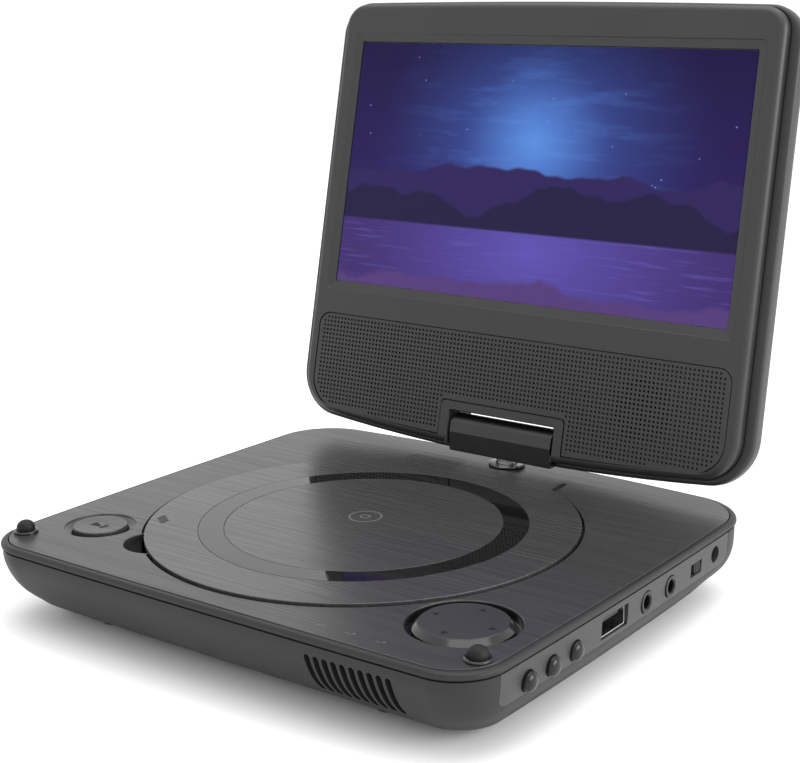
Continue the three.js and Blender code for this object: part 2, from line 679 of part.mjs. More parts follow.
function grilleForm(grow, z0, z1) {
  const { halfWidth, high, lowRadius, highRadius } = GRILLE;
  const low = GRILLE.low - GRILLE.lowBow;
  const shape = roundedRectangle(halfWidth + grow, low - grow, high + grow, lowRadius, highRadius);
  const field = plate(shape, z0, z1);
  const lower = { ...BEZEL, halfWidth: halfWidth + 20, low: GRILLE.low - grow, lowBow: GRILLE.lowBow };
  const bow = loft([z0, z1].map((z) => level(lower, z, even(0))));
  const half = NOTCH.halfWidth - grow;
  return cut(field.intersect(bow), box(-half, half, -12, NOTCH.top - grow, z0 - 1, z1 + 1));
}

function screenBezel() {
  const outside = [
    level(BEZEL, -0.3, even(0)),
    level(BEZEL, 3.2, even(0)),
    level(BEZEL, 4.4, even(0.4)),
    level(BEZEL, 5.1, even(1.1)),
    level(BEZEL, FACE, even(2.2)),
  ];
  const form = loft(outside);
  const hollow = loft([level(BEZEL, -2, even(1.8)), level(BEZEL, 3.5, even(1.8))]);
  const cheeks = form.intersect(hingeCheeks);
  const backing = form.intersect(loft([
    level({ ...BEZEL, high: 37 }, 2.6, even(1)),
    level({ ...BEZEL, high: 37 }, 4, even(1)),
  ]));
  let bezel = join(cut(form, hollow), cheeks, backing);
  const { up, halfWidth, halfHeight, out } = DISPLAY;
  const reveal = (z, side) => ({
    z,
    points: [[-1, -1], [1, -1], [1, 1], [-1, 1]].map(([sx, sy]) => {
      return new THREE.Vector2(sx * (halfWidth + side), up + sy * (halfHeight + side));
    }),
  });
  bezel = cut(
    bezel,
    loft([reveal(0, 0), reveal(out, 0), reveal(FACE + 0.3, 3.75)]),
    grilleForm(GAP, 4.3, 8),
    hingeCutout,
    pinHole,
  );
  for (const side of [-1, 1]) {
    bezel = cut(bezel, barZ(side * SPEAKERS.x, SPEAKERS.y, SPEAKERS.radius - 1.5, 0, 8, 20));
    const { x, y } = SCREEN_SCREWS;
    const boss = cut(barZ(side * x, y, 2.5, 1.3, 4, 14), barZ(side * x, y, 1.3, 0, 3.4, 10));
    bezel = join(bezel, boss);
  }
  return bezel;
}
place(screen, "screen_bezel", "shell", screenBezel());

function screenBack() {
  const outside = loft([
    level(SHELL, BACK, even(6.5)),
    level(SHELL, BACK + 0.5, even(3.8)),
    level(SHELL, BACK + 1.8, even(1.7)),
    level(SHELL, BACK + 3.6, even(0.5)),
    level(SHELL, BACK + 5.6, even(0)),
    level(SHELL, 0.2, even(0)),
    level(SHELL, 1, even(0.35)),
    level(SHELL, 1.3, even(0.9)),
  ]);
  const hollow = loft([
    level(BEZEL, BACK + 2, even(5.5)),
    level(BEZEL, BACK + 3.2, even(2.6)),
    level(BEZEL, BACK + 5, even(1.2)),
    level(BEZEL, -0.9, even(0.8)),
    level(BEZEL, -0.8, even(-GAP)),
    level(BEZEL, 3, even(-GAP)),
  ]);
  let back = cut(outside, hollow);
  const under = box(-90, 90, -20, 60, -20, -0.7);
  back = join(back, outside.intersect(hingeCheeks).intersect(under));
  back = cut(back, hingeCutout, pinHole);
  for (const side of [-1, 1]) {
    const { x, y } = SCREEN_SCREWS;
    const boss = barZ(side * x, y, 2.7, BACK + 1, 1, 14);
    const bore = barZ(side * x, y, 1.3, BACK - 1, 2, 10);
    back = cut(join(back, boss), bore, barZ(side * x, y, 2.4, BACK - 1, BACK + 2.1, 14));
  }
  return back;
}
place(screen, "screen_back", "shell", screenBack());

function panelBox(halfWidth, halfHeight, z0, z1) {
  return box(-halfWidth, halfWidth, DISPLAY.up - halfHeight, DISPLAY.up + halfHeight, z0, z1);
}
place(screen, "lcd_panel", "module", panelBox(80, 47.5, -1.5, 3.2));
place(screen, "display_glass", "display", panelBox(76.7, 42.95, 3.5, 4.2));
place(screen, "speaker_grille", "shell", grilleForm(0, 4.6, 5.45));

for (const [name, side] of [["speaker_left", -1], ["speaker_right", 1]]) {
  const { x, y, radius } = SPEAKERS;
  const speaker = join(
    barZ(side * x, y, radius - 0.4, 0.4, 2.3, 20),
    barZ(side * x, y, radius - 5, -3.4, 0.6, 20),
  );
  place(screen, name, "black", speaker);
}

const boardChips = [[-30, -18], [6, 22]].map(([x0, x1]) => box(x0, x1, 52, 64, -5, -4));
place(screen, "screen_board", "board", join(box(-48, 48, 44, 84, -4.2, -2.8), ...boardChips));

for (const [name, side] of [["screen_screw_left", -1], ["screen_screw_right", 1]]) {
  const { x, y } = SCREEN_SCREWS;
  const head = barZ(side * x, y, 2.1, BACK + 0.4, BACK + 1.8, 14);
  const slot = box(side * x - 1.5, side * x + 1.5, y - 0.3, y + 0.3, BACK, BACK + 1);
  const screw = join(head, barZ(side * x, y, 1, BACK + 1, 3.1, 10));
  place(screen, name, "steel", cut(screw, slot));
}

export default player;
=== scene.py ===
"""The looks of the portable disc player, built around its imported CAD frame.

Shapes are made in millimetres in one of two sets of axes, the same two as the CAD part:
BASE has the deck at z = 0 and the user at -Y; SCREEN has its origin on the tilt axis, +Y up the
screen and +Z out of its face. place() turns a shape into an object in metres.
"""

import json
import math

import bmesh
import bpy
from mathutils import Matrix, Vector
from mathutils.geometry import delaunay_2d_cdt


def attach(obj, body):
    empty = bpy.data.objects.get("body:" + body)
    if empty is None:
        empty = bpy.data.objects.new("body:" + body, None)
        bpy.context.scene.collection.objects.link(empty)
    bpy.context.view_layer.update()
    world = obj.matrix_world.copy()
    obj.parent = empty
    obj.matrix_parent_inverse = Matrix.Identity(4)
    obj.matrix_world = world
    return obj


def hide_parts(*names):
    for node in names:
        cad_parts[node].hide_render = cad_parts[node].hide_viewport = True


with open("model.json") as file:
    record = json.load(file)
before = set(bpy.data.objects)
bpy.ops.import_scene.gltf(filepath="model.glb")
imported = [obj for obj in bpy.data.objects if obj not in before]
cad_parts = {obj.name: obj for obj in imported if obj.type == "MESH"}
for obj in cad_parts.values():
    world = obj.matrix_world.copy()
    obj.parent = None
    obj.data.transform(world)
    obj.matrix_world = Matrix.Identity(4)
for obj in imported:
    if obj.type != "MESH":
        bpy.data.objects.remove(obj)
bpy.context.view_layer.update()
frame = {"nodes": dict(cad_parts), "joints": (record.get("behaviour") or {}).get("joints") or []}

# ---------- driving dimensions, in millimetres ----------
MM = 0.001
SHARP_ANGLE = math.radians(32)  # edges sharper than this stay crisp
HINGE = Vector((0, 70.5, 9.6))  # tilt axis in the base's axes
HINGE_HALF = 20
LEAN = math.radians(12.1)

CASE = {
    "half": 87.3, "low": -76.8, "high": 76.4, "side_bow": 1.1, "low_bow": 0.6, "high_bow": 4.6,
    "low_radius": 14, "high_radius": 17,
}
COVER_INSET = 1.9
FLOOR = -21.4
DISC = (-3, -2.65)
LID_RADIUS = 65
LID_TOP = 0.6
LID_UNDER = -1
LID_GAP = 0.9
TAB_HALF = 29.7
TAB_BACK = 63.2
TAB_SLOT_BACK = 64.3
LID_AXIS = (60.5, -1.5)
RING_INNER, RING_OUTER = 41.8, 49.3
WELL_RADIUS = 62.3
WELL_FLOOR = -8.5
PLAY = (-67.4, -48.6)
PLAY_RADIUS, PLAY_DISH = 8, 10.5
NAV = (65.2, -48.5)
NAV_RECESS, NAV_RIM, NAV_FACE = 15.2, 13.5, 11.8
SCOOP = (-42.9, -50.1)
SCOOP_RADIUS, SCOOP_DEPTH = 9, 6
BUMPER = (81, -65.2)
PANEL_FRONT, PANEL_BACK, PANEL_LOW, PANEL_HIGH, PANEL_INSIDE = -64.5, 58, -12, -2.2, 85.5
PANEL_LOW_RADIUS, PANEL_HIGH_RADIUS = 4, 0.5
PANEL_CUT = (80, 92)  # the panel's openings are cut between these two places in x
SOCKET_BACK, SOCKET_FRONT, SOCKET_LOW = 73, 85.2, -10.5
SIDE_BUTTONS = (-52.7, -41.8, -30.7)
SIDE_BUTTON_Z, SIDE_BUTTON_RADIUS = -8.3, 2.7
USB_Y, USB_Z, USB_WIDTH, USB_HEIGHT = -10.9, -7.3, 13.9, 6.2
JACKS = {"headphone_jack": 6.5, "av_jack": 20.5}
JACK_Z, JACK_BARREL, JACK_BORE = -7.5, 3.1, 1.85
SWITCH_FRONT, SWITCH_BACK, SWITCH_LOW, SWITCH_HIGH, SWITCH_KNOB = 33.3, 40.2, -9.4, -5.4, 3
DC_Y, DC_Z, DC_BORE = 49.3, -6.9, 2.5
VENT_FIRST, VENT_PITCH, VENT_COUNT, VENT_WIDTH, VENT_LOW, VENT_HIGH = 36.9, 2.82, 10, 1.8, -17, -5.2
CASING_SCREWS = ((-50, -60), (50, -60), (-60, 53), (60, 53))
FEET = ((-52, -40), (52, -40), (-56, 40), (56, 40))
LENS_X = 21
GRIP_MARK = (-56.3, -34.2)

DISPLAY_UP, DISPLAY_HALF, DISPLAY_HALF_HEIGHT, DISPLAY_OUT = 88.26, 77.04, 43.29, 4.3
FACE, BACK = 5.5, -8
BEZEL = {
    "half": 85.3, "low": -0.3, "high": 144.8, "side_bow": 0, "low_bow": 4.9, "high_bow": 0.9,
    "low_radius": 12, "high_radius": 7.5,
}
SHELL = {
    "half": 89, "low": -1.8, "high": 146, "side_bow": 0, "low_bow": 5, "high_bow": 0.9,
    "low_radius": 14, "high_radius": 11,
}
CUTOUT_HALF, CUTOUT_TOP = 20.6, 6.36
NOTCH_HALF, NOTCH_TOP = 24.5, 9.76
GRILLE = {
    "half": 81, "low": 1.0, "high": 33.3, "side_bow": 0, "low_bow": 3.6, "high_bow": 0,
    "low_radius": 9.5, "high_radius": 4.5,
}
HOLE_PITCH, HOLE_RADIUS = 1.5, 0.42
RECESS_FLOOR = 4.3
SPEAKERS_X, SPEAKERS_Y, SPEAKERS_RADIUS = 52, 16.5, 12
SCREEN_SCREW = (70, 139.4)

TILT_POINT = Vector(next(j["pos_m"] for j in frame["joints"] if j["name"] == "screen_tilt"))
BASE = Matrix.Translation(TILT_POINT - HINGE * MM)
SCREEN = Matrix.Translation(TILT_POINT) @ Matrix.Rotation(math.pi / 2 - LEAN, 4, "X")


# ---------- shapes: a shape is (points, faces) in millimetres ----------
def merge(*shapes):
    points, faces = [], []
    for more_points, more_faces in shapes:
        start = len(points)
        points += more_points
        faces += [[i + start for i in face] for face in more_faces]
    return points, faces


def moved(shape, x=0, y=0, z=0):
    return [(a + x, b + y, c + z) for a, b, c in shape[0]], shape[1]


def turned_axes(shape, order):
    """Renames the axes of a shape: "yzx" sends its x, y, z to y, z, x."""
    places = ["xyz".index(letter) for letter in order]
    points = []
    for point in shape[0]:
        out = [0, 0, 0]
        for value, place_index in zip(point, places):
            out[place_index] = value
        points.append(tuple(out))
    return points, shape[1]


def circle(x, y, radius, steps=96, start=0, sweep=360):
    count = steps if sweep % 360 == 0 else steps + 1
    angles = [math.radians(start + sweep * i / steps) for i in range(count)]
    return [(x + radius * math.cos(a), y + radius * math.sin(a)) for a in angles]


def rounded_box(x0, x1, y0, y1, radius, steps=6):
    corners = ((x1, y0, -90), (x1, y1, 0), (x0, y1, 90), (x0, y0, 180))
    loop = []
    for x, y, start in corners:
        middle_x = x - radius if x == x1 else x + radius
        middle_y = y - radius if y == y1 else y + radius
        loop += circle(middle_x, middle_y, radius, steps, start, 90)
    return loop


def filleted(loop, radius, steps=5, closed=True):
    """Rounds each corner of a polygon; radius is one number, or one for each corner."""
    radii = radius if isinstance(radius, (list, tuple)) else [radius] * len(loop)
    out = []
    for i, corner in enumerate(loop):
        if not closed and i in (0, len(loop) - 1) or radii[i] == 0:
            out.append(tuple(corner))
            continue
        here = Vector(corner)
        before = Vector(loop[i - 1]) - here
        after = Vector(loop[(i + 1) % len(loop)]) - here
        turn = before.angle(after)
        if turn > math.radians(178):
            out.append(tuple(corner))
            continue
        reach = min(radii[i] / math.tan(turn / 2), before.length * 0.48, after.length * 0.48)
        first = here + before.normalized() * reach
        last = here + after.normalized() * reach
        for step in range(steps + 1):
            t = step / steps
            out.append(tuple(first * (1 - t) ** 2 + here * 2 * t * (1 - t) + last * t * t))
    return out


def outline(form, low=0, side=0, high=0, corner=12, edge=14):
    """A rounded rectangle with bowed sides, anticlockwise; the insets draw its sides in."""
    half = form["half"] - side
    y0, y1 = form["low"] + low, form["high"] - high
    low_radius = max(form["low_radius"] - side * 0.4, 3)
    high_radius = max(form["high_radius"] - side * 0.4, 3)
    corners = (
        (half - low_radius, y0 + low_radius, low_radius, -90),
        (half - high_radius, y1 - high_radius, high_radius, 0),
        (-half + high_radius, y1 - high_radius, high_radius, 90),
        (-half + low_radius, y0 + low_radius, low_radius, 180),
    )
    raw = []
    for i, (x, y, radius, start) in enumerate(corners):
        raw += circle(x, y, radius, corner, start, 90)
        next_x, next_y, next_radius, next_start = corners[(i + 1) % 4]
        to = circle(next_x, next_y, next_radius, 1, next_start, 90)[0]
        source = raw[-1]
        for step in range(1, edge):
            t = step / edge
            raw.append((source[0] + (to[0] - source[0]) * t, source[1] + (to[1] - source[1]) * t))
    middle, reach = (y0 + y1) / 2, (y1 - y0) / 2
    loop = []
    for x, y in raw:
        across, along = x / half, (y - middle) / reach
        end_bow = form["high_bow"] if along > 0 else -form["low_bow"]
        shift = form["side_bow"] * (1 - along * along)
        loop.append((
            x + math.copysign(across * across * shift, x),
            y + end_bow * along * along * (1 - across * across),
        ))
    return loop


def smooth_rows(rows, steps=3):
    """Puts points of a smooth curve between rows of numbers."""
    out = []
    for i in range(len(rows) - 1):
        a, b, c, d = (Vector(rows[max(0, min(len(rows) - 1, i + k))]) for k in (-1, 0, 1, 2))
        for step in range(steps):
            t = step / steps
            out.append(tuple(0.5 * (2 * b + (c - a) * t + (2 * a - 5 * b + 4 * c - d) * t ** 2
                                    + (3 * b - a - 3 * c + d) * t ** 3)))
    out.append(tuple(rows[-1]))
    return out


def walls(rings):
    """Joins (z, loop) rings in turn into a tube with open ends."""
    count = len(rings[0][1])
    points = [(x, y, z) for z, loop in rings for x, y in loop]
    faces = []
    for row in range(len(rings) - 1):
        for i in range(count):
            a, b = row * count + i, row * count + (i + 1) % count
            faces.append([a, b, b + count, a + count])
    return points, faces


def loft(levels):
    """Joins (z, loop) levels, lowest first, into a closed solid."""
    points, faces = walls(levels)
    count = len(levels[0][1])
    last = len(points) - count
    faces.append(list(range(count))[::-1])
    faces.append([last + i for i in range(count)])
    return points, faces


def shrunk(loop, inset, scales=None):
    """Moves each point of a loop inwards, to the left of its direction of travel."""
    out = []
    for i, (x, y) in enumerate(loop):
        before = (Vector((x, y)) - Vector(loop[i - 1])).normalized()
        after = (Vector(loop[(i + 1) % len(loop)]) - Vector((x, y))).normalized()
        normal = Vector((-before.y - after.y, before.x + after.x)).normalized()
        stretch = 1 / max(normal.dot(Vector((-before.y, before.x))), 0.5)
        reach = inset * stretch * (scales[i] if scales else 1)
        out.append((x + normal.x * reach, y + normal.y * reach))
    return out


def fill(loops, z, up):
    """A flat sheet between an anticlockwise outer loop and clockwise holes."""
    flat, faces = [], []
    for loop in loops:
        faces.append(list(range(len(flat), len(flat) + len(loop))))
        flat += loop
    edges = [(face[i - 1], face[i]) for face in faces for i in range(len(face))]
    result = delaunay_2d_cdt([Vector(p) for p in flat], edges, faces, 2, 1e-5)
    triangles = [list(f) if up else list(f)[::-1] for f in result[2]]
    return [(p.x, p.y, z) for p in result[0]], triangles


def slab(loops, z0, z1, edge=0.3, low_edge=0, steps=3, scales=None):
    """A plate with holes and rounded edges. The first loop is the outline, the others holes;
    edge is one size for the top edges or one for each loop, low_edge the same for the bottom."""
    tops = edge if isinstance(edge, (list, tuple)) else [edge] * len(loops)
    lows = low_edge if isinstance(low_edge, (list, tuple)) else [low_edge] * len(loops)
    loops = [loop if i == 0 else loop[::-1] for i, loop in enumerate(loops)]
    sides, caps_low, caps_top = [], [], []
    for index, (loop, top, low) in enumerate(zip(loops, tops, lows)):
        scale = scales if index == 0 else None
        rows = []
        if low:
            rows = [(z0 + low * (1 - math.sin(math.pi / 2 * (1 - i / steps))),
                     low * (1 - math.cos(math.pi / 2 * (1 - i / steps)))) for i in range(steps + 1)]
        else:
            rows.append((z0, 0))
        if top:
            rows += [(z1 - top * (1 - math.sin(math.pi / 2 * i / steps)),
                      top * (1 - math.cos(math.pi / 2 * i / steps))) for i in range(steps + 1)]
        else:
            rows.append((z1, 0))
        rings = [(z, shrunk(loop, inset, scale) if inset else loop) for z, inset in rows]
        sides.append(walls(rings))
        caps_low.append(rings[0][1])
        caps_top.append(rings[-1][1])
    return merge(*sides, fill(caps_low, z0, False), fill(caps_top, z1, True))


def revolved(profile, x=0, y=0, segments=64):
    """Turns a profile of (radius, height) points about a vertical axis; it runs anticlockwise."""
    rows, points = [], []
    for radius, height in profile:
        if radius < 1e-6:
            rows.append([len(points)] * segments)
            points.append((x, y, height))
            continue
        rows.append(list(range(len(points), len(points) + segments)))
        for i in range(segments):
            a = math.tau * i / segments
            points.append((x + radius * math.cos(a), y + radius * math.sin(a), height))
    faces = []
    closed = profile[0][0] > 1e-6
    for row in range(len(rows) - (0 if closed else 1)):
        lower, upper = rows[row], rows[(row + 1) % len(rows)]
        for i in range(segments):
            j = (i + 1) % segments
            face = [lower[i], lower[j], upper[j], upper[i]]
            kept = [v for k, v in enumerate(face) if v not in face[:k]]
            if len(kept) > 2:
                faces.append(kept)
    return points, faces


def turned(profile, radii, at=(0, 0), segments=64):
    """Rounds the corners of a profile and turns it about the vertical axis at (x, y)."""
    return revolved(filleted(profile, radii), *at, segments)


def dome(radius, middle, rise, start, step):
    """The side of a dome in (radius, height) points, from its rim at angle start to near its top."""
    angles = [math.radians(a) for a in range(start, 90, step)]
    return [(radius * math.cos(a), middle + rise * math.sin(a)) for a in angles]


def along_x(shape, y=0, z=0):
    """Stands a shape made about +Z on its side, so that its axis is +X through (y, z)."""
    return moved(turned_axes(shape, "yzx"), 0, y, z)


def rod(x, y, radius, z0, z1, segments=48, edge=0):
    return slab([circle(x, y, radius, segments)], z0, z1, edge, edge)


def brick(x0, x1, y0, y1, z0, z1, radius=0.0, edge=0.0):
    loop = rounded_box(x0, x1, y0, y1, radius) if radius else [(x0, y0), (x1, y0), (x1, y1), (x0, y1)]
    return slab([loop], z0, z1, edge, edge, 2)


# ---------- from shapes to objects ----------
def mesh_of(name, shape):
    mesh = bpy.data.meshes.new(name)
    mesh.from_pydata([Vector(p) * MM for p in shape[0]], [], shape[1])
    work = bmesh.new()
    work.from_mesh(mesh)
    bmesh.ops.remove_doubles(work, verts=work.verts, dist=1e-7)
    bmesh.ops.dissolve_degenerate(work, edges=work.edges, dist=1e-7)
    bmesh.ops.recalc_face_normals(work, faces=work.faces)
    work.to_mesh(mesh)
    work.free()
    return mesh


def carved(shape, *steps):
    """Applies booleans in turn: each step is ("DIFFERENCE" | "UNION" | "INTERSECT", tool shape)."""
    body = bpy.data.objects.new("carved", mesh_of("carved", shape))
    bpy.context.scene.collection.objects.link(body)
    for operation, tool_shape in steps:
        tool = bpy.data.objects.new("tool", mesh_of("tool", tool_shape))
        bpy.context.scene.collection.objects.link(tool)
        modifier = body.modifiers.new("boolean", "BOOLEAN")
        modifier.operation, modifier.object, modifier.solver = operation, tool, "MANIFOLD"
        graph = bpy.context.evaluated_depsgraph_get()
        result = bpy.data.meshes.new_from_object(body.evaluated_get(graph))
        body.modifiers.clear()
        body.data = result
        bpy.data.objects.remove(tool)
    points = [tuple(v.co / MM) for v in body.data.vertices]
    faces = [list(p.vertices) for p in body.data.polygons]
    bpy.data.objects.remove(body)
    return points, faces


def place(name, shape, look, body, stands_for=(), slot="", space=BASE, bevel=0):
    """Makes an object of a shape in millimetres. The slot argument is not used."""
    mesh = mesh_of(name, shape)
    obj = bpy.data.objects.new(name, mesh)
    bpy.context.scene.collection.objects.link(obj)
    if bevel:
        modifier = obj.modifiers.new("bevel", "BEVEL")
        modifier.width, modifier.segments = bevel * MM, 2
        modifier.limit_method, modifier.angle_limit = "ANGLE", math.radians(38)
        graph = bpy.context.evaluated_depsgraph_get()
        mesh = bpy.data.meshes.new_from_object(obj.evaluated_get(graph))
        obj.modifiers.clear()
        obj.data = mesh
    mesh.shade_smooth()
    mesh.set_sharp_from_angle(angle=SHARP_ANGLE)
    modifier = obj.modifiers.new("normals", "WEIGHTED_NORMAL")
    modifier.keep_sharp, modifier.weight = True, 100
    mesh.materials.clear()
    mesh.materials.append(LOOKS[look])
    obj.matrix_world = space
    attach(obj, body)
    if stands_for:
        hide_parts(*stands_for)


# ---------- materials ----------
class Nodes:
    """Short names for building one material's node tree."""

    def __init__(self, name):
        self.material = bpy.data.materials.new(name)
        self.material.use_nodes = True
        self.tree = self.material.node_tree
        self.shader = self.tree.nodes["Principled BSDF"]
        self.place = self.add("ShaderNodeTexCoord").outputs["Object"]

    def add(self, kind, inputs=None, **settings):
        node = self.tree.nodes.new(kind)
        for key, value in settings.items():
            setattr(node, key, value)
        for key, value in (inputs or {}).items():
            if isinstance(value, bpy.types.NodeSocket):
                self.tree.links.new(value, node.inputs[key])
            else:
                node.inputs[key].default_value = value
        return node

    def math(self, operation, *values, clamp=False):
        node = self.add("ShaderNodeMath", dict(enumerate(values)), operation=operation)
        node.use_clamp = clamp
        return node.outputs[0]

    def stretched(self, x, y, z, source=None):
        inputs = {"Vector": source or self.place, "Scale": (x, y, z)}
        return self.add("ShaderNodeMapping", inputs).outputs["Vector"]

    def noise(self, vector, scale, detail=2.0, roughness=0.5):
        inputs = {"Vector": vector, "Scale": scale, "Detail": detail, "Roughness": roughness}
        return self.add("ShaderNodeTexNoise", inputs).outputs["Fac"]

    def ramp(self, factor, low, high, from_low=0.0, from_high=1.0):
        inputs = {
            "Value": factor, "From Min": from_low, "From Max": from_high, "To Min": low, "To Max": high,
        }
        return self.add("ShaderNodeMapRange", inputs).outputs["Result"]

    def blend(self, factor, first, second):
        node = self.add("ShaderNodeMix", data_type="RGBA", blend_type="MIX")
        for key, value in (("Factor", factor), ("A", first), ("B", second)):
            sockets = [s for s in node.inputs if s.name == key and s.enabled]
            if isinstance(value, bpy.types.NodeSocket):
                self.tree.links.new(value, sockets[0])
            else:
                sockets[0].default_value = value
        return next(s for s in node.outputs if s.enabled)

    def bump(self, height, strength, distance):
        inputs = {"Height": height, "Strength": strength, "Distance": distance}
        return self.add("ShaderNodeBump", inputs).outputs["Normal"]

    def set(self, **values):
        for key, value in values.items():
            socket = self.shader.inputs[key.replace("_", " ")]
            if isinstance(value, bpy.types.NodeSocket):
                self.tree.links.new(value, socket)
            else:
                socket.default_value = value
        return self.material


def grey(value):
    return (value, value, value, 1)


def textured_plastic(name, tone, roughness, specular):
    """Moulded plastic with a fine spark-eroded texture, slight cloudiness and softly worn shine."""
    n = Nodes(name)
    fine = n.noise(n.place, 2600, 3, 0.6)
    cloud = n.noise(n.place, 28, 3)
    colour = n.blend(n.ramp(cloud, 0, 1, 0.3, 0.7), grey(tone * 0.93), grey(tone * 1.08))
    colour = n.blend(n.ramp(fine, 0, 0.5, 0.4, 0.7), colour, grey(tone * 1.35))
    grain_rough = n.ramp(fine, roughness - 0.03, roughness + 0.05)
    rough = n.math("ADD", n.ramp(cloud, -0.04, 0.05, 0.3, 0.7), grain_rough)
    normal = n.bump(fine, 0.35, 0.00002)
    return n.set(Base_Color=colour, Roughness=rough, Normal=normal, Specular_IOR_Level=specular)


def brushed_plastic(name, tone, roughness, specular):
    """A film with fine hairlines that run across the player's width, under a half-gloss coat."""
    n = Nodes(name)
    hair = n.noise(n.stretched(26, 2300, 300), 1.0, 4, 0.65)
    long_hair = n.noise(n.stretched(9, 720, 90), 1.0, 3, 0.6)
    cloud = n.noise(n.place, 20, 2)
    streak = n.math("ADD", n.math("MULTIPLY", hair, 0.6), n.math("MULTIPLY", long_hair, 0.4))
    colour = n.blend(n.ramp(streak, 0, 1, 0.36, 0.64), grey(tone * 0.62), grey(tone * 1.5))
    hair_rough = n.ramp(streak, roughness + 0.07, roughness - 0.05, 0.35, 0.65)
    rough = n.math("ADD", hair_rough, n.ramp(cloud, -0.02, 0.02))
    normal = n.bump(streak, 0.16, 0.00003)
    return n.set(Base_Color=colour, Roughness=rough, Normal=normal, Specular_IOR_Level=specular)


def smooth_plastic(name, tone, roughness, specular=0.5):
    """Smooth moulded plastic: a faint waviness and uneven shine, no grain."""
    n = Nodes(name)
    wave = n.noise(n.place, 60, 2)
    dust = n.noise(n.place, 900, 2)
    colour = n.blend(n.ramp(wave, 0, 1, 0.35, 0.65), grey(tone * 0.96), grey(tone * 1.05))
    rough = n.math("ADD", n.ramp(wave, -0.02, 0.02), n.ramp(dust, roughness - 0.02, roughness + 0.03))
    normal = n.bump(wave, 0.06, 0.00008)
    return n.set(Base_Color=colour, Roughness=rough, Normal=normal, Specular_IOR_Level=specular)


def gloss_plastic(name, tone, roughness, specular=0.5):
    n = Nodes(name)
    wave = n.noise(n.place, 35, 1)
    haze = n.noise(n.place, 300, 3)
    rough = n.ramp(haze, roughness, roughness + 0.05, 0.4, 0.8)
    normal = n.bump(wave, 0.03, 0.0001)
    colour = n.blend(n.ramp(haze, 0, 1, 0.5, 0.8), grey(tone), grey(tone * 1.3))
    return n.set(Base_Color=colour, Roughness=rough, Normal=normal, Specular_IOR_Level=specular)


def rubber(name, tone):
    n = Nodes(name)
    grain = n.noise(n.place, 1800, 3, 0.7)
    dust = n.noise(n.place, 140, 3)
    colour = n.blend(n.ramp(dust, 0, 0.6, 0.5, 0.8), grey(tone), grey(tone * 1.9))
    rough = n.ramp(grain, 0.5, 0.66)
    normal = n.bump(grain, 0.3, 0.00003)
    return n.set(Base_Color=colour, Roughness=rough, Normal=normal, Specular_IOR_Level=0.25)


def metal(name, tone, roughness):
    n = Nodes(name)
    hair = n.noise(n.stretched(60, 2500, 2500), 1.0, 3)
    smudge = n.noise(n.place, 120, 2)
    hair_rough = n.ramp(hair, roughness - 0.05, roughness + 0.08)
    rough = n.math("ADD", hair_rough, n.ramp(smudge, -0.03, 0.04))
    colour = n.blend(hair, grey(tone * 0.85), grey(tone * 1.1))
    normal = n.bump(hair, 0.1, 0.00002)
    return n.set(Base_Color=colour, Metallic=1.0, Roughness=rough, Normal=normal)


def circuit_board(name):
    n = Nodes(name)
    weave = n.add("ShaderNodeTexBrick", {
        "Vector": n.stretched(1, 1, 1), "Scale": 220.0, "Mortar Size": 0.012,
        "Color1": (0.012, 0.07, 0.03, 1), "Color2": (0.01, 0.055, 0.026, 1),
        "Mortar": (0.03, 0.12, 0.05, 1),
    }).outputs["Color"]
    grain = n.noise(n.place, 1500, 2)
    normal = n.bump(grain, 0.1, 0.00002)
    return n.set(Base_Color=weave, Roughness=n.ramp(grain, 0.3, 0.45), Normal=normal)


def battery_wrap(name):
    n = Nodes(name)
    wrinkle = n.noise(n.stretched(1, 0.3, 1), 180, 3)
    colour = n.blend(wrinkle, (0.02, 0.045, 0.12, 1), (0.03, 0.07, 0.18, 1))
    normal = n.bump(wrinkle, 0.2, 0.0001)
    return n.set(Base_Color=colour, Roughness=n.ramp(wrinkle, 0.25, 0.4), Normal=normal)


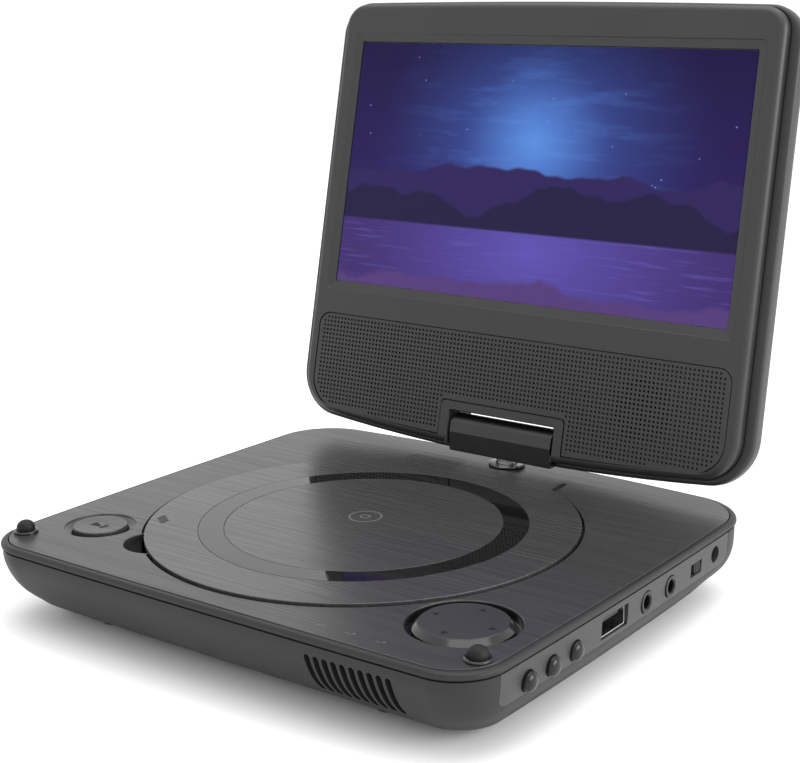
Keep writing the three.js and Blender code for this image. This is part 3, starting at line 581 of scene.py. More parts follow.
def picture(name):
    """The lit display: a night landscape of a low moon behind clouds, hills and a lake shore."""
    n = Nodes(name)
    split = n.add("ShaderNodeSeparateXYZ", {"Vector": n.place})
    u = n.ramp(split.outputs["X"], 0, 1, -DISPLAY_HALF * MM, DISPLAY_HALF * MM)
    low = (DISPLAY_UP - DISPLAY_HALF_HEIGHT) * MM
    v = n.ramp(split.outputs["Y"], 0, 1, low, low + 2 * DISPLAY_HALF_HEIGHT * MM)

    def layer(colour, height, wobble, scale, seed, tint, soft=0.006):
        place = n.add("ShaderNodeCombineXYZ", {"X": n.math("MULTIPLY", u, scale), "Y": seed})
        shape = n.noise(place.outputs[0], 1.0, 3, 0.45)
        edge = n.math("ADD", n.math("MULTIPLY", n.math("SUBTRACT", shape, 0.5), wobble), height)
        inside = n.ramp(n.math("SUBTRACT", edge, v), 0, 1, -soft, soft)
        return n.blend(inside, colour, tint)

    def glow(x, y, squash, reach):
        across = n.math("SUBTRACT", u, x)
        up = n.math("MULTIPLY", n.math("SUBTRACT", v, y), squash)
        squares = n.math("ADD", n.math("MULTIPLY", across, across), n.math("MULTIPLY", up, up))
        away = n.math("SQRT", squares)
        return n.ramp(away, 1, 0, 0, reach)

    def plane(across, up):
        inputs = {"X": n.math("MULTIPLY", u, across), "Y": n.math("MULTIPLY", v, up)}
        return n.add("ShaderNodeCombineXYZ", inputs).outputs[0]

    sky = n.blend(v, (0.026, 0.010, 0.130, 1), (0.006, 0.001, 0.050, 1))
    halo = n.math("POWER", glow(0.5, 0.62, 0.72, 0.46), 1.7)
    sky = n.blend(halo, sky, (0.050, 0.115, 0.480, 1))
    cloud = n.noise(plane(5.0, 16.0), 1.0, 4, 0.6)
    sky = n.blend(n.math("MULTIPLY", n.ramp(cloud, 0, 0.7, 0.5, 0.72), halo), sky, (0.10, 0.22, 0.68, 1))
    heart = n.math("POWER", glow(0.5, 0.62, 0.6, 0.2), 1.6)
    sky = n.blend(heart, sky, (0.10, 0.27, 0.74, 1))
    stars = n.add("ShaderNodeTexVoronoi", {"Vector": plane(26.0, 15.0), "Scale": 1.0})
    stars = stars.outputs["Distance"]
    sky = n.blend(n.math("MULTIPLY", n.ramp(stars, 1, 0, 0.03, 0.07), 0.6), sky, (0.2, 0.35, 0.8, 1))
    scene = layer(sky, 0.50, 0.50, 3.2, 2.1, (0.024, 0.013, 0.100, 1))
    scene = layer(scene, 0.40, 0.42, 4.6, 7.3, (0.013, 0.007, 0.052, 1))
    shine = n.math("POWER", glow(0.52, 0.2, 0.9, 0.5), 1.4)
    lake = n.blend(shine, (0.048, 0.022, 0.155, 1), (0.110, 0.080, 0.440, 1))
    ripple = n.noise(plane(7.0, 70.0), 1.0, 2)
    lake = n.blend(n.ramp(ripple, 0, 0.5, 0.55, 0.75), lake, (0.13, 0.10, 0.46, 1))
    shore = n.ramp(n.math("SUBTRACT", 0.27, v), 0, 1, -0.004, 0.004)
    scene = n.blend(shore, scene, lake)
    scene = layer(scene, 0.05, 0.24, 6.0, 4.4, (0.085, 0.042, 0.190, 1), 0.012)
    return n.set(
        Base_Color=(0.002, 0.002, 0.003, 1), Roughness=n.ramp(cloud, 0.24, 0.3), Specular_IOR_Level=0.12,
        Emission_Color=scene, Emission_Strength=1.0,
    )


LOOKS = {
    "shell": textured_plastic("charcoal_plastic", 0.021, 0.42, specular=0.4),
    # the casing wall is the same plastic as the port panel; it gets a darker tone and less sheen as
    # painted shade on the front of the casing
    "wall": textured_plastic("charcoal_wall_painted_shade", 0.017, 0.46, specular=0.26),
    "deck": brushed_plastic("brushed_deck", 0.030, 0.30, 0.34),
    "lid": brushed_plastic("brushed_lid", 0.032, 0.28, 0.5),
    # the port panel (and the switch knob) gets a lighter tone than the casing wall as painted light, for
    # the light that falls on the right side
    "panel": textured_plastic("panel_plastic_painted_light", 0.030, 0.45, specular=0.4),
    "gloss": gloss_plastic("gloss_black", 0.006, 0.03),
    "hinge": gloss_plastic("hinge_gloss", 0.009, 0.2),
    "key": smooth_plastic("key_plastic", 0.024, 0.34),
    "key_gloss": gloss_plastic("key_gloss", 0.010, 0.12),
    "button": gloss_plastic("button_gloss", 0.007, 0.14, 0.3),
    "rubber": rubber("bumper_rubber", 0.005),
    "black": smooth_plastic("plain_black", 0.010, 0.5),
    "steel": metal("bright_steel", 0.55, 0.22),
    "chrome": metal("chrome_ring", 0.45, 0.12),
    "dark_steel": metal("dark_steel", 0.16, 0.2),
    "gold": metal("contact_gold", 0.6, 0.25),
    "board": circuit_board("circuit_board"),
    "cell": battery_wrap("battery_wrap"),
    "lens": gloss_plastic("lens_coat", 0.05, 0.02),
    "module": smooth_plastic("module_frame", 0.2, 0.4),
    "print": smooth_plastic("dark_print", 0.003, 0.6, 0.2),
    "pale_print": smooth_plastic("pale_print", 0.085, 0.45),
    "display": picture("display_picture"),
}


# ---------- base: casing ----------
CASE_CURVE = (
    (-23.5, 22, 13.5, 14), (-22.7, 17, 10.5, 11), (-20.6, 11.8, 8.4, 9), (-18, 8.6, 6, 6.4),
    (-14.4, 5, 2.6, 2.6), (-10.2, 2.4, 0.9, 0.9), (-5.6, 0.6, 0.5, 0.5), (-2.65, 0.45, 0.45, 0.45),
)
CASE_LIP = (
    (-2.6, 0.6), (-2.56, 0.95), (-2.1, 0.95), (-2.05, 0.3), (-1.8, 0.05), (-1.3, 0), (-0.85, 0.1),
    (-0.5, 0.35), (-0.28, 0.7), (-0.2, 1.15),
)
CAVITY = (
    (FLOOR, 17.5, 12.5, 13), (-18, 12, 8.8, 9.2), (-13, 6.8, 4.4, 4.4), (-7, 3.4, 2.6, 2.6),
    (-3, 1.65, 1.65, 1.65), (1, 1.65, 1.65, 1.65),
)
case_form = loft(
    [(z, outline(CASE, *insets)) for z, *insets in smooth_rows(CASE_CURVE)]
    + [(z, outline(CASE, inset, inset, inset)) for z, inset in CASE_LIP]
)


def panel_block(grow, start):
    """The outline of the port panel, seen from the side, pushed out through the casing wall."""
    front, back, low, high = PANEL_FRONT, PANEL_BACK, PANEL_LOW, PANEL_HIGH
    corners = [(front, low), (back, low), (back, high), (front, high)]
    radii = [PANEL_LOW_RADIUS, PANEL_LOW_RADIUS, PANEL_HIGH_RADIUS, PANEL_HIGH_RADIUS]
    loop = shrunk(filleted(corners, radii, 8), -grow)
    return turned_axes(slab([loop], start, 92, 0), "yzx")


def bottom_casing():
    cavity = loft([(z, outline(CASE, *insets)) for z, *insets in CAVITY])
    window = panel_block(0.12, 80)
    slots = []
    for i in range(VENT_COUNT):
        x = VENT_FIRST + i * VENT_PITCH
        half = VENT_WIDTH / 2
        loop = rounded_box(x - half, x + half, VENT_LOW, VENT_HIGH, half - 0.01)
        slots.append(turned_axes(slab([loop[::-1]], -82, -64, 0), "xzy"))
    feet = [rod(x, y, 5.4, -24, -22.9) for x, y in FEET]
    wells = [rod(x, y, 2.9, -24, -19.6, 32) for x, y in CASING_SCREWS]
    bosses = [rod(x, y, 3.4, FLOOR - 0.8, -12.6, 32) for x, y in CASING_SCREWS]
    holes = [rod(x, y, 1.5, -20, -12, 24) for x, y in CASING_SCREWS]
    return carved(
        case_form,
        ("DIFFERENCE", cavity),
        *[("UNION", boss) for boss in bosses],
        ("DIFFERENCE", window),
        ("DIFFERENCE", merge(*slots)),
        ("DIFFERENCE", merge(*feet, *wells)),
        ("DIFFERENCE", merge(*holes)),
    )


place("bottom_casing_shell", bottom_casing(), "wall", "base", ["bottom_casing"], bevel=0.12)


def lid_loop(grow, tab_back, corner=1.2, with_scoop=False):
    """The outline of the round lid and its straight tab, grown by a clearance; anticlockwise."""
    x, y = DISC
    radius, half = LID_RADIUS + grow, TAB_HALF + grow
    left = 180 - math.degrees(math.acos(half / radius))
    right = 180 - left
    if not with_scoop:
        arc = circle(x, y, radius, 140, left, 360 + right - left)
    else:
        toward = Vector(SCOOP) - Vector(DISC)
        middle = math.degrees(math.atan2(toward.y, toward.x)) % 360
        reach = toward.length
        squares = radius ** 2 - SCOOP_RADIUS ** 2
        big = math.degrees(math.acos((reach ** 2 + squares) / (2 * reach * radius)))
        small = math.degrees(math.acos((reach ** 2 - squares) / (2 * reach * SCOOP_RADIUS)))
        small = 180 - small if small < 90 else small
        bulge = circle(*SCOOP, SCOOP_RADIUS, 40, middle - small, 2 * small)
        first = circle(x, y, radius, 60, left, middle - big - left)
        last = circle(x, y, radius, 90, middle + big, 360 + right - middle - big)
        before = filleted([first[-4], first[-1], bulge[3]], 9, 7, False)
        after = filleted([bulge[-4], last[0], last[3]], 9, 7, False)
        arc = first[:-4] + before + bulge[4:-4] + after + last[4:]
    tab = filleted(
        [arc[-1], (x + half, tab_back), (x - half, tab_back), arc[0]], [0, corner, corner, 0], 5, False)
    return arc + tab[1:-1]


def top_cover():
    plate = slab(
        [
            outline(CASE, COVER_INSET, COVER_INSET, COVER_INSET),
            lid_loop(LID_GAP, TAB_SLOT_BACK, 1.0, True),
            circle(*PLAY, PLAY_DISH, 72),
            circle(*NAV, NAV_RECESS, 96),
            circle(0, HINGE.y, 3.9, 32),
        ],
        -2, 0, [0.22, 0.3, 0.35, 0.4, 0.1],
    )
    inner, outer = PLAY_RADIUS + 0.25, PLAY_DISH + 0.6
    dish = turned(
        [(PLAY_DISH, -0.4), (inner, -1.4), (inner, -2), (outer, -2), (outer, -0.4)],
        [0.3, 0.5, 0.1, 0.1, 0.1], PLAY)
    rim = SCOOP_RADIUS
    inside = [
        (rim - 0.02, -0.35), (rim - 0.3, -2.6), (rim - 2.2, -5.0), (3, -5.95), (0, -SCOOP_DEPTH),
    ]
    outside = [(0, -7.2), (rim - 0.2, -7.2), (rim + 1.3, -5), (rim + 1.3, -0.35)]
    bowl = revolved(smooth_rows(inside, 5) + outside, *SCOOP)
    bowl = carved(bowl, ("DIFFERENCE", rod(*DISC, LID_RADIUS + LID_GAP - 0.05, -9, 2, 160)))
    lugs = []
    for side in (-1, 1):
        near, far = sorted((DISC[0] + side * 30.9, DISC[0] + side * 35))
        lugs.append(brick(near, far, 58.2, 62.8, -4.2, -1.9, 0.4, 0.2))
    bosses = [rod(x, y, 3, -12.2, -1.9, 32) for x, y in CASING_SCREWS]
    return merge(plate, dish, bowl, *lugs, *bosses)


place("top_cover_plate", top_cover(), "deck", "base", ["top_cover"])
nav_cup = turned([
    (NAV_RECESS, -0.3), (NAV_RECESS - 0.15, -2.8), (3, -2.8), (3, -3.8), (NAV_RECESS + 1.2, -3.8),
    (NAV_RECESS + 1.2, -1.2), (NAV_RECESS + 0.4, -0.6),
], [0.1, 0.5, 0.1, 0.1, 0.1, 0.1, 0.1], NAV, 96)
place("nav_cup", nav_cup, "key_gloss", "base")

for number, (foot_x, foot_y) in enumerate(FEET, 1):
    profile = [(0, -25), (4.9, -25), (5.1, -23.2), (0, -23.2)]
    foot = turned(profile, [0, 0.5, 0.3, 0], (foot_x, foot_y), 48)
    place(f"rubber_foot_{number}", foot, "rubber", "base", [f"foot_{number}"])

for label, side in (("left", -1), ("right", 1)):
    at = (side * BUMPER[0], BUMPER[1])
    profile = [(0, 0.5), (2.62, 0.5), (2.7, 1.4)] + dome(2.7, 1.55, 2.25, 0, 8) + [(0, 3.8)]
    place(f"bumper_{label}_dome", revolved(profile, *at, 48), "rubber", "base", [f"bumper_{label}"])
    profile = [(2.55, -0.3), (3.6, -0.3), (3.6, 0.75), (2.75, 0.95)]
    collar = turned(profile, [0.1, 0.1, 0.35, 0.2], at, 48)
    place(f"bumper_{label}_collar", collar, "key_gloss", "base", slot="rubber")


def cross_screw(x, y, head, shank, edge, heights, cross):
    """A screw standing head down. The heights are of its head's face, its underside and its tip.
    The cross is the recess: its arms' reach and half-width, and the heights it is cut between."""
    face, under, tip = heights
    reach, half, low, high = cross
    profile = [(0, face), (head, face), (head, under), (shank, under), (shank, tip), (0, tip)]
    body = turned(profile, [0, edge, 0.1, 0.1, 0.2, 0], (x, y), 32)
    for a, b in ((reach, half), (half, reach)):
        body = carved(body, ("DIFFERENCE", brick(x - a, x + a, y - b, y + b, low, high)))
    return body


for number, at in enumerate(CASING_SCREWS, 1):
    screw = cross_screw(*at, 2.5, 1.1, 0.5, (-21.5, -19.9, -5), (1.6, 0.3, -22, -20.7))
    place(f"screw_{number}", screw, "steel", "base", [f"casing_screw_{number}"])


# ---------- base: right side ----------
def port_panel():
    blank = panel_block(0, PANEL_INSIDE)
    wide, tall = USB_WIDTH / 2, USB_HEIGHT / 2
    holes = [
        brick(*PANEL_CUT, USB_Y - wide, USB_Y + wide, USB_Z - tall, USB_Z + tall),
        brick(*PANEL_CUT, SWITCH_FRONT, SWITCH_BACK, SWITCH_LOW, SWITCH_HIGH),
        along_x(rod(0, 0, DC_BORE, *PANEL_CUT, 48), DC_Y, DC_Z),
    ]
    for y in SIDE_BUTTONS:
        holes.append(along_x(rod(0, 0, SIDE_BUTTON_RADIUS + 0.2, *PANEL_CUT, 48), y, SIDE_BUTTON_Z))
    for y in JACKS.values():
        holes.append(along_x(rod(0, 0, JACK_BARREL + 0.2, *PANEL_CUT, 48), y, JACK_Z))
    return carved(case_form, ("INTERSECT", blank), ("DIFFERENCE", merge(*holes)))


place("side_port_panel", port_panel(), "panel", "base", ["port_panel"], bevel=0.14)

for number, button_y in enumerate(SIDE_BUTTONS, 1):
    profile = [(0, 84.2), (3.5, 84.2), (3.5, 85.1), (2.7, 85.1), (2.7, 87.6)]
    profile += dome(2.7, 87.9, 1.6, 6, 7) + [(0, 89.5)]
    place(
        f"round_side_button_{number}",
        along_x(revolved(profile, 0, 0, 48), button_y, SIDE_BUTTON_Z), "button",
        f"side_button_{number}", [f"side_button_{number}"],
    )


def usb_shell():
    outer = rounded_box(USB_Y - 6.65, USB_Y + 6.65, USB_Z - 2.8, USB_Z + 2.8, 0.6)
    inner = rounded_box(USB_Y - 6.3, USB_Y + 6.3, USB_Z - 2.45, USB_Z + 2.45, 0.35)
    tube = turned_axes(slab([outer, inner], 73.6, 86.9, 0.08), "yzx")
    back = turned_axes(slab([outer], 73, 73.8, 0), "yzx")
    return merge(tube, back)


place("usb_shell", usb_shell(), "steel", "base", ["usb_port"])
place(
    "usb_tongue", brick(74, 85.6, USB_Y - 5.5, USB_Y + 5.5, USB_Z + 0.3, USB_Z + 1.9, 0.3, 0.15),
    "black", "base",
)
contacts = [
    brick(76, 84.8, USB_Y + y - 0.55, USB_Y + y + 0.55, USB_Z + 0.12, USB_Z + 0.35, 0.1, 0.05)
    for y in (-3.5, -1.2, 1.2, 3.5)
]
place("usb_contacts", merge(*contacts), "gold", "base")

for label, jack_y in JACKS.items():
    housing = brick(
        SOCKET_BACK, SOCKET_FRONT, jack_y - 3.9, jack_y + 3.9, SOCKET_LOW, -4.4, 0.4, 0.2)
    bore = along_x(rod(0, 0, JACK_BORE, 74.5, 88, 40), jack_y, JACK_Z)
    housing = carved(housing, ("DIFFERENCE", bore))
    barrel = turned([
        (JACK_BORE, SOCKET_FRONT), (JACK_BARREL, SOCKET_FRONT), (JACK_BARREL, 88.1),
        (JACK_BORE + 0.35, 88.1), (JACK_BORE, 87.7),
    ], [0.05, 0.05, 0.25, 0.1, 0.1], segments=48)
    place(f"{label}_barrel", along_x(barrel, jack_y, JACK_Z), "button", "base", slot="black")
    place(f"{label}_body", housing, "black", "base", [label])
    spring = brick(80, 84.6, jack_y - 0.5, jack_y + 0.5, JACK_Z + 1.0, JACK_Z + 1.5, 0.1, 0.1)
    place(f"{label}_contact", spring, "gold", "base")

dc_body = brick(
    SOCKET_BACK, SOCKET_FRONT, DC_Y - 4.4, DC_Y + 4.4, SOCKET_LOW, DC_Z + 3.8, 0.4, 0.2)
dc_body = carved(dc_body, ("DIFFERENCE", along_x(rod(0, 0, DC_BORE, 75, 88, 48), DC_Y, DC_Z)))
place("dc_body", dc_body, "black", "base", ["dc_jack"])
dc_pin = turned([(0, 74), (0.6, 74), (0.6, 84.4), (0, 84.4)], [0, 0, 0.3, 0], segments=24)
place("dc_pin", along_x(dc_pin, DC_Y, DC_Z), "chrome", "base")

switch_shell = brick(
    78, SOCKET_FRONT, SWITCH_FRONT - 1.6, SWITCH_BACK + 1.6, SOCKET_LOW, SWITCH_HIGH + 0.9,
    0.3, 0.2)
switch_room = brick(
    81.5, 90, SWITCH_FRONT - 0.1, SWITCH_BACK + 0.1, SWITCH_LOW - 0.1, SWITCH_HIGH + 0.1)
place(
    "switch_housing", carved(switch_shell, ("DIFFERENCE", switch_room)), "black", "base",
    ["switch_body"],
)
knob_back = SWITCH_BACK - 0.2
knob_low, knob_high = SWITCH_LOW + 0.2, SWITCH_HIGH - 0.2
knob = brick(82, 86.9, knob_back - SWITCH_KNOB, knob_back, knob_low, knob_high, 0.3, 0.2)
ribs = []
for i in range(3):
    rib = knob_back - 0.25 - i * 0.85
    ribs.append(brick(86.6, 87.2, rib - 0.4, rib, SWITCH_LOW + 0.45, SWITCH_HIGH - 0.45, 0.1, 0.1))
place("switch_knob", merge(knob, *ribs), "panel", "switch_slider", ["switch_slider"], slot="black")

# ---------- base: deck controls ----------
play_key = turned([
    (0, -3.3), (9.4, -3.3), (9.4, -2.3), (PLAY_RADIUS, -2.3), (PLAY_RADIUS, 0.2),
    (PLAY_RADIUS - 0.9, 0.2), (0, -0.15),
], [0, 0.1, 0.1, 0.1, 0.35, 0.4, 0], PLAY, 96)
place("play_key", play_key, "deck", "play_button", ["play_button"])

nav_disc = turned(
    [(0, -0.9), (NAV_FACE - 0.05, -0.9), (NAV_FACE - 0.05, 0.5), (0, 0.4)], [0, 0.1, 0.2, 0],
    NAV, 128)
place("nav_disc", nav_disc, "key", "nav_pad", ["nav_pad"])
nav_chamfer = turned([
    (NAV_FACE, -1.8), (NAV_RIM, -1.8), (NAV_RIM, -0.95), (NAV_FACE + 0.1, 0.46), (NAV_FACE, 0.4),
], [0, 0.1, 0.25, 0.1, 0], NAV, 128)
place("nav_chamfer", nav_chamfer, "key_gloss", "nav_pad")


def mark(points, height, thick=0.03):
    return slab([points], height - 0.05, height + thick, 0)


def triangle(x, y, size, heading):
    c, s = math.cos(math.radians(heading)), math.sin(math.radians(heading))
    corners = ((size, 0), (-size * 0.6, size * 0.8), (-size * 0.6, -size * 0.8))
    return [(x + px * c - py * s, y + px * s + py * c) for px, py in corners]


arrows = []
for heading in (0, 90, 180, 270):
    a = math.radians(heading)
    at = (NAV[0] + 8.8 * math.cos(a), NAV[1] + 8.8 * math.sin(a))
    arrows.append(mark(triangle(*at, 1.25, heading), 0.49, 0.01))
place("nav_arrows", merge(*arrows), "print", "nav_pad")

play_marks = [mark(triangle(PLAY[0] - 1.8, PLAY[1], 2.0, 0), -0.02)]
for x in (PLAY[0] + 1.2, PLAY[0] + 2.9):
    play_marks.append(mark(rounded_box(x, x + 0.9, PLAY[1] - 1.6, PLAY[1] + 1.6, 0.15), -0.02))
place("play_marks", merge(*play_marks), "print", "play_button")

deck_marks = []
for x in (36, 45.5, 55):
    deck_marks.append(mark(rounded_box(x - 1.3, x + 0.5, -70.3, -70.0, 0.1), 0.0, 0.015))
    deck_marks.append(mark(triangle(x + 1.1, -69.5, 0.6, 0), 0.0, 0.015))
place("deck_marks", merge(*deck_marks), "pale_print", "base")

# ---------- base: disc compartment ----------
well_outer = WELL_RADIUS + 1.5
well = turned([
    (0, WELL_FLOOR - 1.5), (well_outer, WELL_FLOOR - 1.5), (well_outer, -3.6), (67.5, -3.6),
    (67.5, -2.3), (WELL_RADIUS, -2.3), (WELL_RADIUS - 0.3, WELL_FLOOR), (0, WELL_FLOOR),
], [0, 0.6, 0.2, 0.2, 0.2, 0.5, 1.2, 0], DISC, 128)
hinge_room = carved(
    brick(DISC[0] - 36, DISC[0] + 36, 58.9, 70, -7, 0),
    ("DIFFERENCE", rod(*DISC, well_outer, -9, -2.45, 96)))
scoop_room = carved(
    rod(*SCOOP, SCOOP_RADIUS + 1.8, -7.7, 0, 48),
    ("DIFFERENCE", rod(*DISC, well_outer, -9, 1, 96)))
well_cuts = [
    rod(*DISC, 5, -12, 0, 48),
    brick(13.5, 58.3, DISC[1] - 7, DISC[1] + 7, -12, -8, 2),
    hinge_room,
    brick(DISC[0] - 31, DISC[0] - 25, 57.6, 70, -7, 0),
    brick(DISC[0] + 25, DISC[0] + 31, 57.6, 70, -7, 0),
    scoop_room,
    rod(*NAV, NAV_RECESS + 1.5, -4, 0, 64),
]
well = carved(well, *[("DIFFERENCE", cut) for cut in well_cuts])
place("disc_compartment", well, "black", "base", ["disc_well"], bevel=0.12)

turntable = turned([
    (0, -16.2), (1.3, -16.2), (1.3, -9), (3, -9), (3, -8.1), (14, -8.1), (14, -6.7), (7.4, -6.7),
    (7.4, -4.6), (6.2, -3.7), (0, -3.7),
], [0, 0, 0, 0, 0.1, 0.3, 0.3, 0.2, 0.4, 0.5, 0], DISC, 96)
place("turntable", turntable, "black", "spindle", ["spindle_hub"])
pad_ring = revolved([(10.4, -6.72), (13.4, -6.72), (13.4, -6.62), (10.4, -6.62)], *DISC, 96)
place("turntable_pad", pad_ring, "rubber", "spindle")
ball_side = [
    (0.75 * math.sin(math.radians(a)), -5 - 0.75 * math.cos(math.radians(a)) + 0.15)
    for a in range(20, 180, 20)
]
balls = []
for heading in (90, 210, 330):
    a = math.radians(heading)
    x, y = DISC[0] + 7.1 * math.cos(a), DISC[1] + 7.1 * math.sin(a)
    balls.append(revolved([(0, -5.6)] + ball_side + [(0, -4.1)], x, y, 16))
place("turntable_balls", merge(*balls), "chrome", "spindle")
lens_profile = [(0, -8.8), (2.2, -8.8), (2.2, -8.45), (1.7, -8.35)]
lens_profile += dome(1.6, -8.35, 0.45, 10, 12) + [(0, -7.9)]
place("objective_lens", revolved(lens_profile, LENS_X, DISC[1], 32), "lens", "sled", ["pickup_lens"])


# ---------- disc lid ----------
def disc_lid():
    outside = lid_loop(0, TAB_BACK, 0.8)
    opening = circle(*DISC, RING_OUTER + 0.12, 160)
    plate = slab([outside, opening], LID_UNDER, LID_TOP, [0.22, 0.1], [0.15, 0])
    middle = slab([circle(*DISC, RING_INNER - 0.12, 160)], LID_UNDER, LID_TOP, 0.1)
    floor = slab([circle(*DISC, RING_OUTER + 1, 96)], LID_UNDER + 0.02, -0.25, 0)
    clamp_loops = [circle(*DISC, 16, 64), circle(*DISC, 8.6, 64)]
    clamp = slab(clamp_loops, -3, LID_UNDER + 0.1, 0, [0.3, 0.3])
    knuckles = []
    for side in (-1, 1):
        near, far = sorted((DISC[0] + side * 25.7, DISC[0] + side * 29.4))
        loop = circle(0, 0, 1.95, 32)
        hole = circle(0, 0, 1.1, 24)
        knuckle = slab([loop, hole], near, far, 0.1, 0.1)
        knuckles.append(along_x(knuckle, LID_AXIS[0], LID_AXIS[1] - 0.1))
    return merge(plate, middle, floor, clamp, *knuckles)


place("lid_plate", disc_lid(), "lid", "lid", ["disc_lid"])
ring = slab([circle(*DISC, RING_OUTER, 160), circle(*DISC, RING_INNER, 160)], 0.05, LID_TOP, 0.08)
place("gloss_ring", ring, "gloss", "lid", ["lid_ring"])

lid_marks = []
for i in range(4):
    at = Vector((GRIP_MARK[0] + i * 1.25, GRIP_MARK[1] - i * 0.8))
    bar = rounded_box(at.x - 0.4, at.x + 0.4, at.y - 1.7, at.y + 1.7, 0.15)
    lid_marks.append(mark(bar, LID_TOP, 0.015))
place("grip_marks", merge(*lid_marks), "print", "lid")
disc_mark = []
for outer, inner, sides in ((5.2, 4.6, 64), (1.7, 1.1, 48)):
    loops = [circle(-5.5, 1, outer, sides), circle(-5.5, 1, inner, sides)]
    disc_mark.append(slab(loops, LID_TOP - 0.05, LID_TOP + 0.015, 0))
place("disc_mark", merge(*disc_mark), "pale_print", "lid")

# ---------- hinge ----------
BLOCK = [
    (65.3, 3.3), (65.3, 9.9), (66.2, 13.4), (67.8, 14.8), (70.5, 15.3), (73.2, 14.7), (75.1, 13),
    (76, 9.9), (76, 5.6), (74.8, 3.4), (70.5, 3.2),
]
block_loop = filleted(BLOCK[::-1], [0.3, 1.5, 2, 2, 2, 2, 2, 1.5, 0.9, 0.35, 0.6], 4)
block = turned_axes(slab([block_loop], -HINGE_HALF, HINGE_HALF, 0.22, 0.22), "yzx")
bores = []
for middle in (-16.7, 16.7):
    bores.append(along_x(rod(0, 0, 2.5, middle - 5, middle + 5, 32), HINGE.y, HINGE.z))
place("hinge_barrel", carved(block, ("DIFFERENCE", merge(*bores))), "hinge", "hinge", ["hinge_block"])
washer = turned([(3.8, 0.3), (6.2, 0.3), (6.2, 1.1), (3.8, 1.1)], 0.22, (0, HINGE.y))
place("hinge_washer", washer, "dark_steel", "hinge", ["swivel_washer"])
post_profile = [(0, -6.4), (6, -6.4), (6, -4.4), (3.5, -4.4), (3.5, 3.1), (0, 3.1)]
post = turned(post_profile, 0.2, (0, HINGE.y), 48)
place("hinge_post", post, "steel", "hinge", ["swivel_post"])


# ---------- screen ----------
def with_cutout(loop, half, top, radius):
    """Cuts the hinge's square opening out of the low edge of an outline; returns the loop and
    how much of an edge's rounding each point keeps."""
    middle = [p for p in loop if p[1] < 30 and abs(p[0]) < half]
    kept = [p for p in loop if p not in middle]
    start = next(i for i, p in enumerate(kept) if p[0] > 0 and kept[i - 1][0] < 0 and p[1] < 30)
    kept = kept[start:] + kept[:start]
    low = sum(p[1] for p in (kept[0], kept[-1])) / 2 - 0.1
    corners = [kept[-1], (-half, low), (-half, top), (half, top), (half, low), kept[0]]
    opening = filleted(corners, [0, 0.3, radius, radius, 0.3, 0], 4, False)[1:-1]
    return kept + opening, [1] * len(kept) + [0.2] * len(opening)


def rectangle(grow, radius):
    return rounded_box(
        -DISPLAY_HALF - grow, DISPLAY_HALF + grow, DISPLAY_UP - DISPLAY_HALF_HEIGHT - grow,
        DISPLAY_UP + DISPLAY_HALF_HEIGHT + grow, radius, 4)


def grille_loop(grow):
    field = outline(GRILLE, -grow, -grow, -grow)
    loop, _ = with_cutout(field, NOTCH_HALF - grow, NOTCH_TOP - grow, 1.5)
    return loop


def screen_bezel():
    edge, scales = with_cutout(outline(BEZEL), CUTOUT_HALF, CUTOUT_TOP, 0.8)
    rise = 2.3
    rows = [(-0.3, 0)]
    for a in range(0, 91, 15):
        s, c = math.sin(math.radians(a)), math.cos(math.radians(a))
        rows.append((FACE - rise * (1 - s), rise * (1 - c)))
    rings = [(z, shrunk(edge, inset, scales) if inset else edge) for z, inset in rows]
    window_top = rectangle(3.0, 1.6)
    recess = grille_loop(0.28)
    front = fill([rings[-1][1], window_top[::-1], recess[::-1]], FACE, True)
    slope = [
        (FACE, 3.0), (FACE - 0.12, 2.82), (FACE - 0.25, 2.75), (DISPLAY_OUT + 0.1, 0.15),
        (DISPLAY_OUT, 0.0), (3.0, 0.0),
    ]
    window = walls([(z, rectangle(grow, 0.5 + grow * 0.37)) for z, grow in slope])
    depth = walls([(FACE, recess), (RECESS_FLOOR, recess)])
    speaker_holes = [
        circle(side * SPEAKERS_X, SPEAKERS_Y, SPEAKERS_RADIUS - 1.5, 48)[::-1] for side in (-1, 1)
    ]
    floor = fill([recess] + speaker_holes, RECESS_FLOOR, True)
    opening = rectangle(0, 0.5)
    under = fill([edge, opening[::-1]], -0.3, False)
    inner = walls([(3.0, opening), (-0.3, opening)])
    return merge(walls(rings), front, window, depth, floor, under, inner)


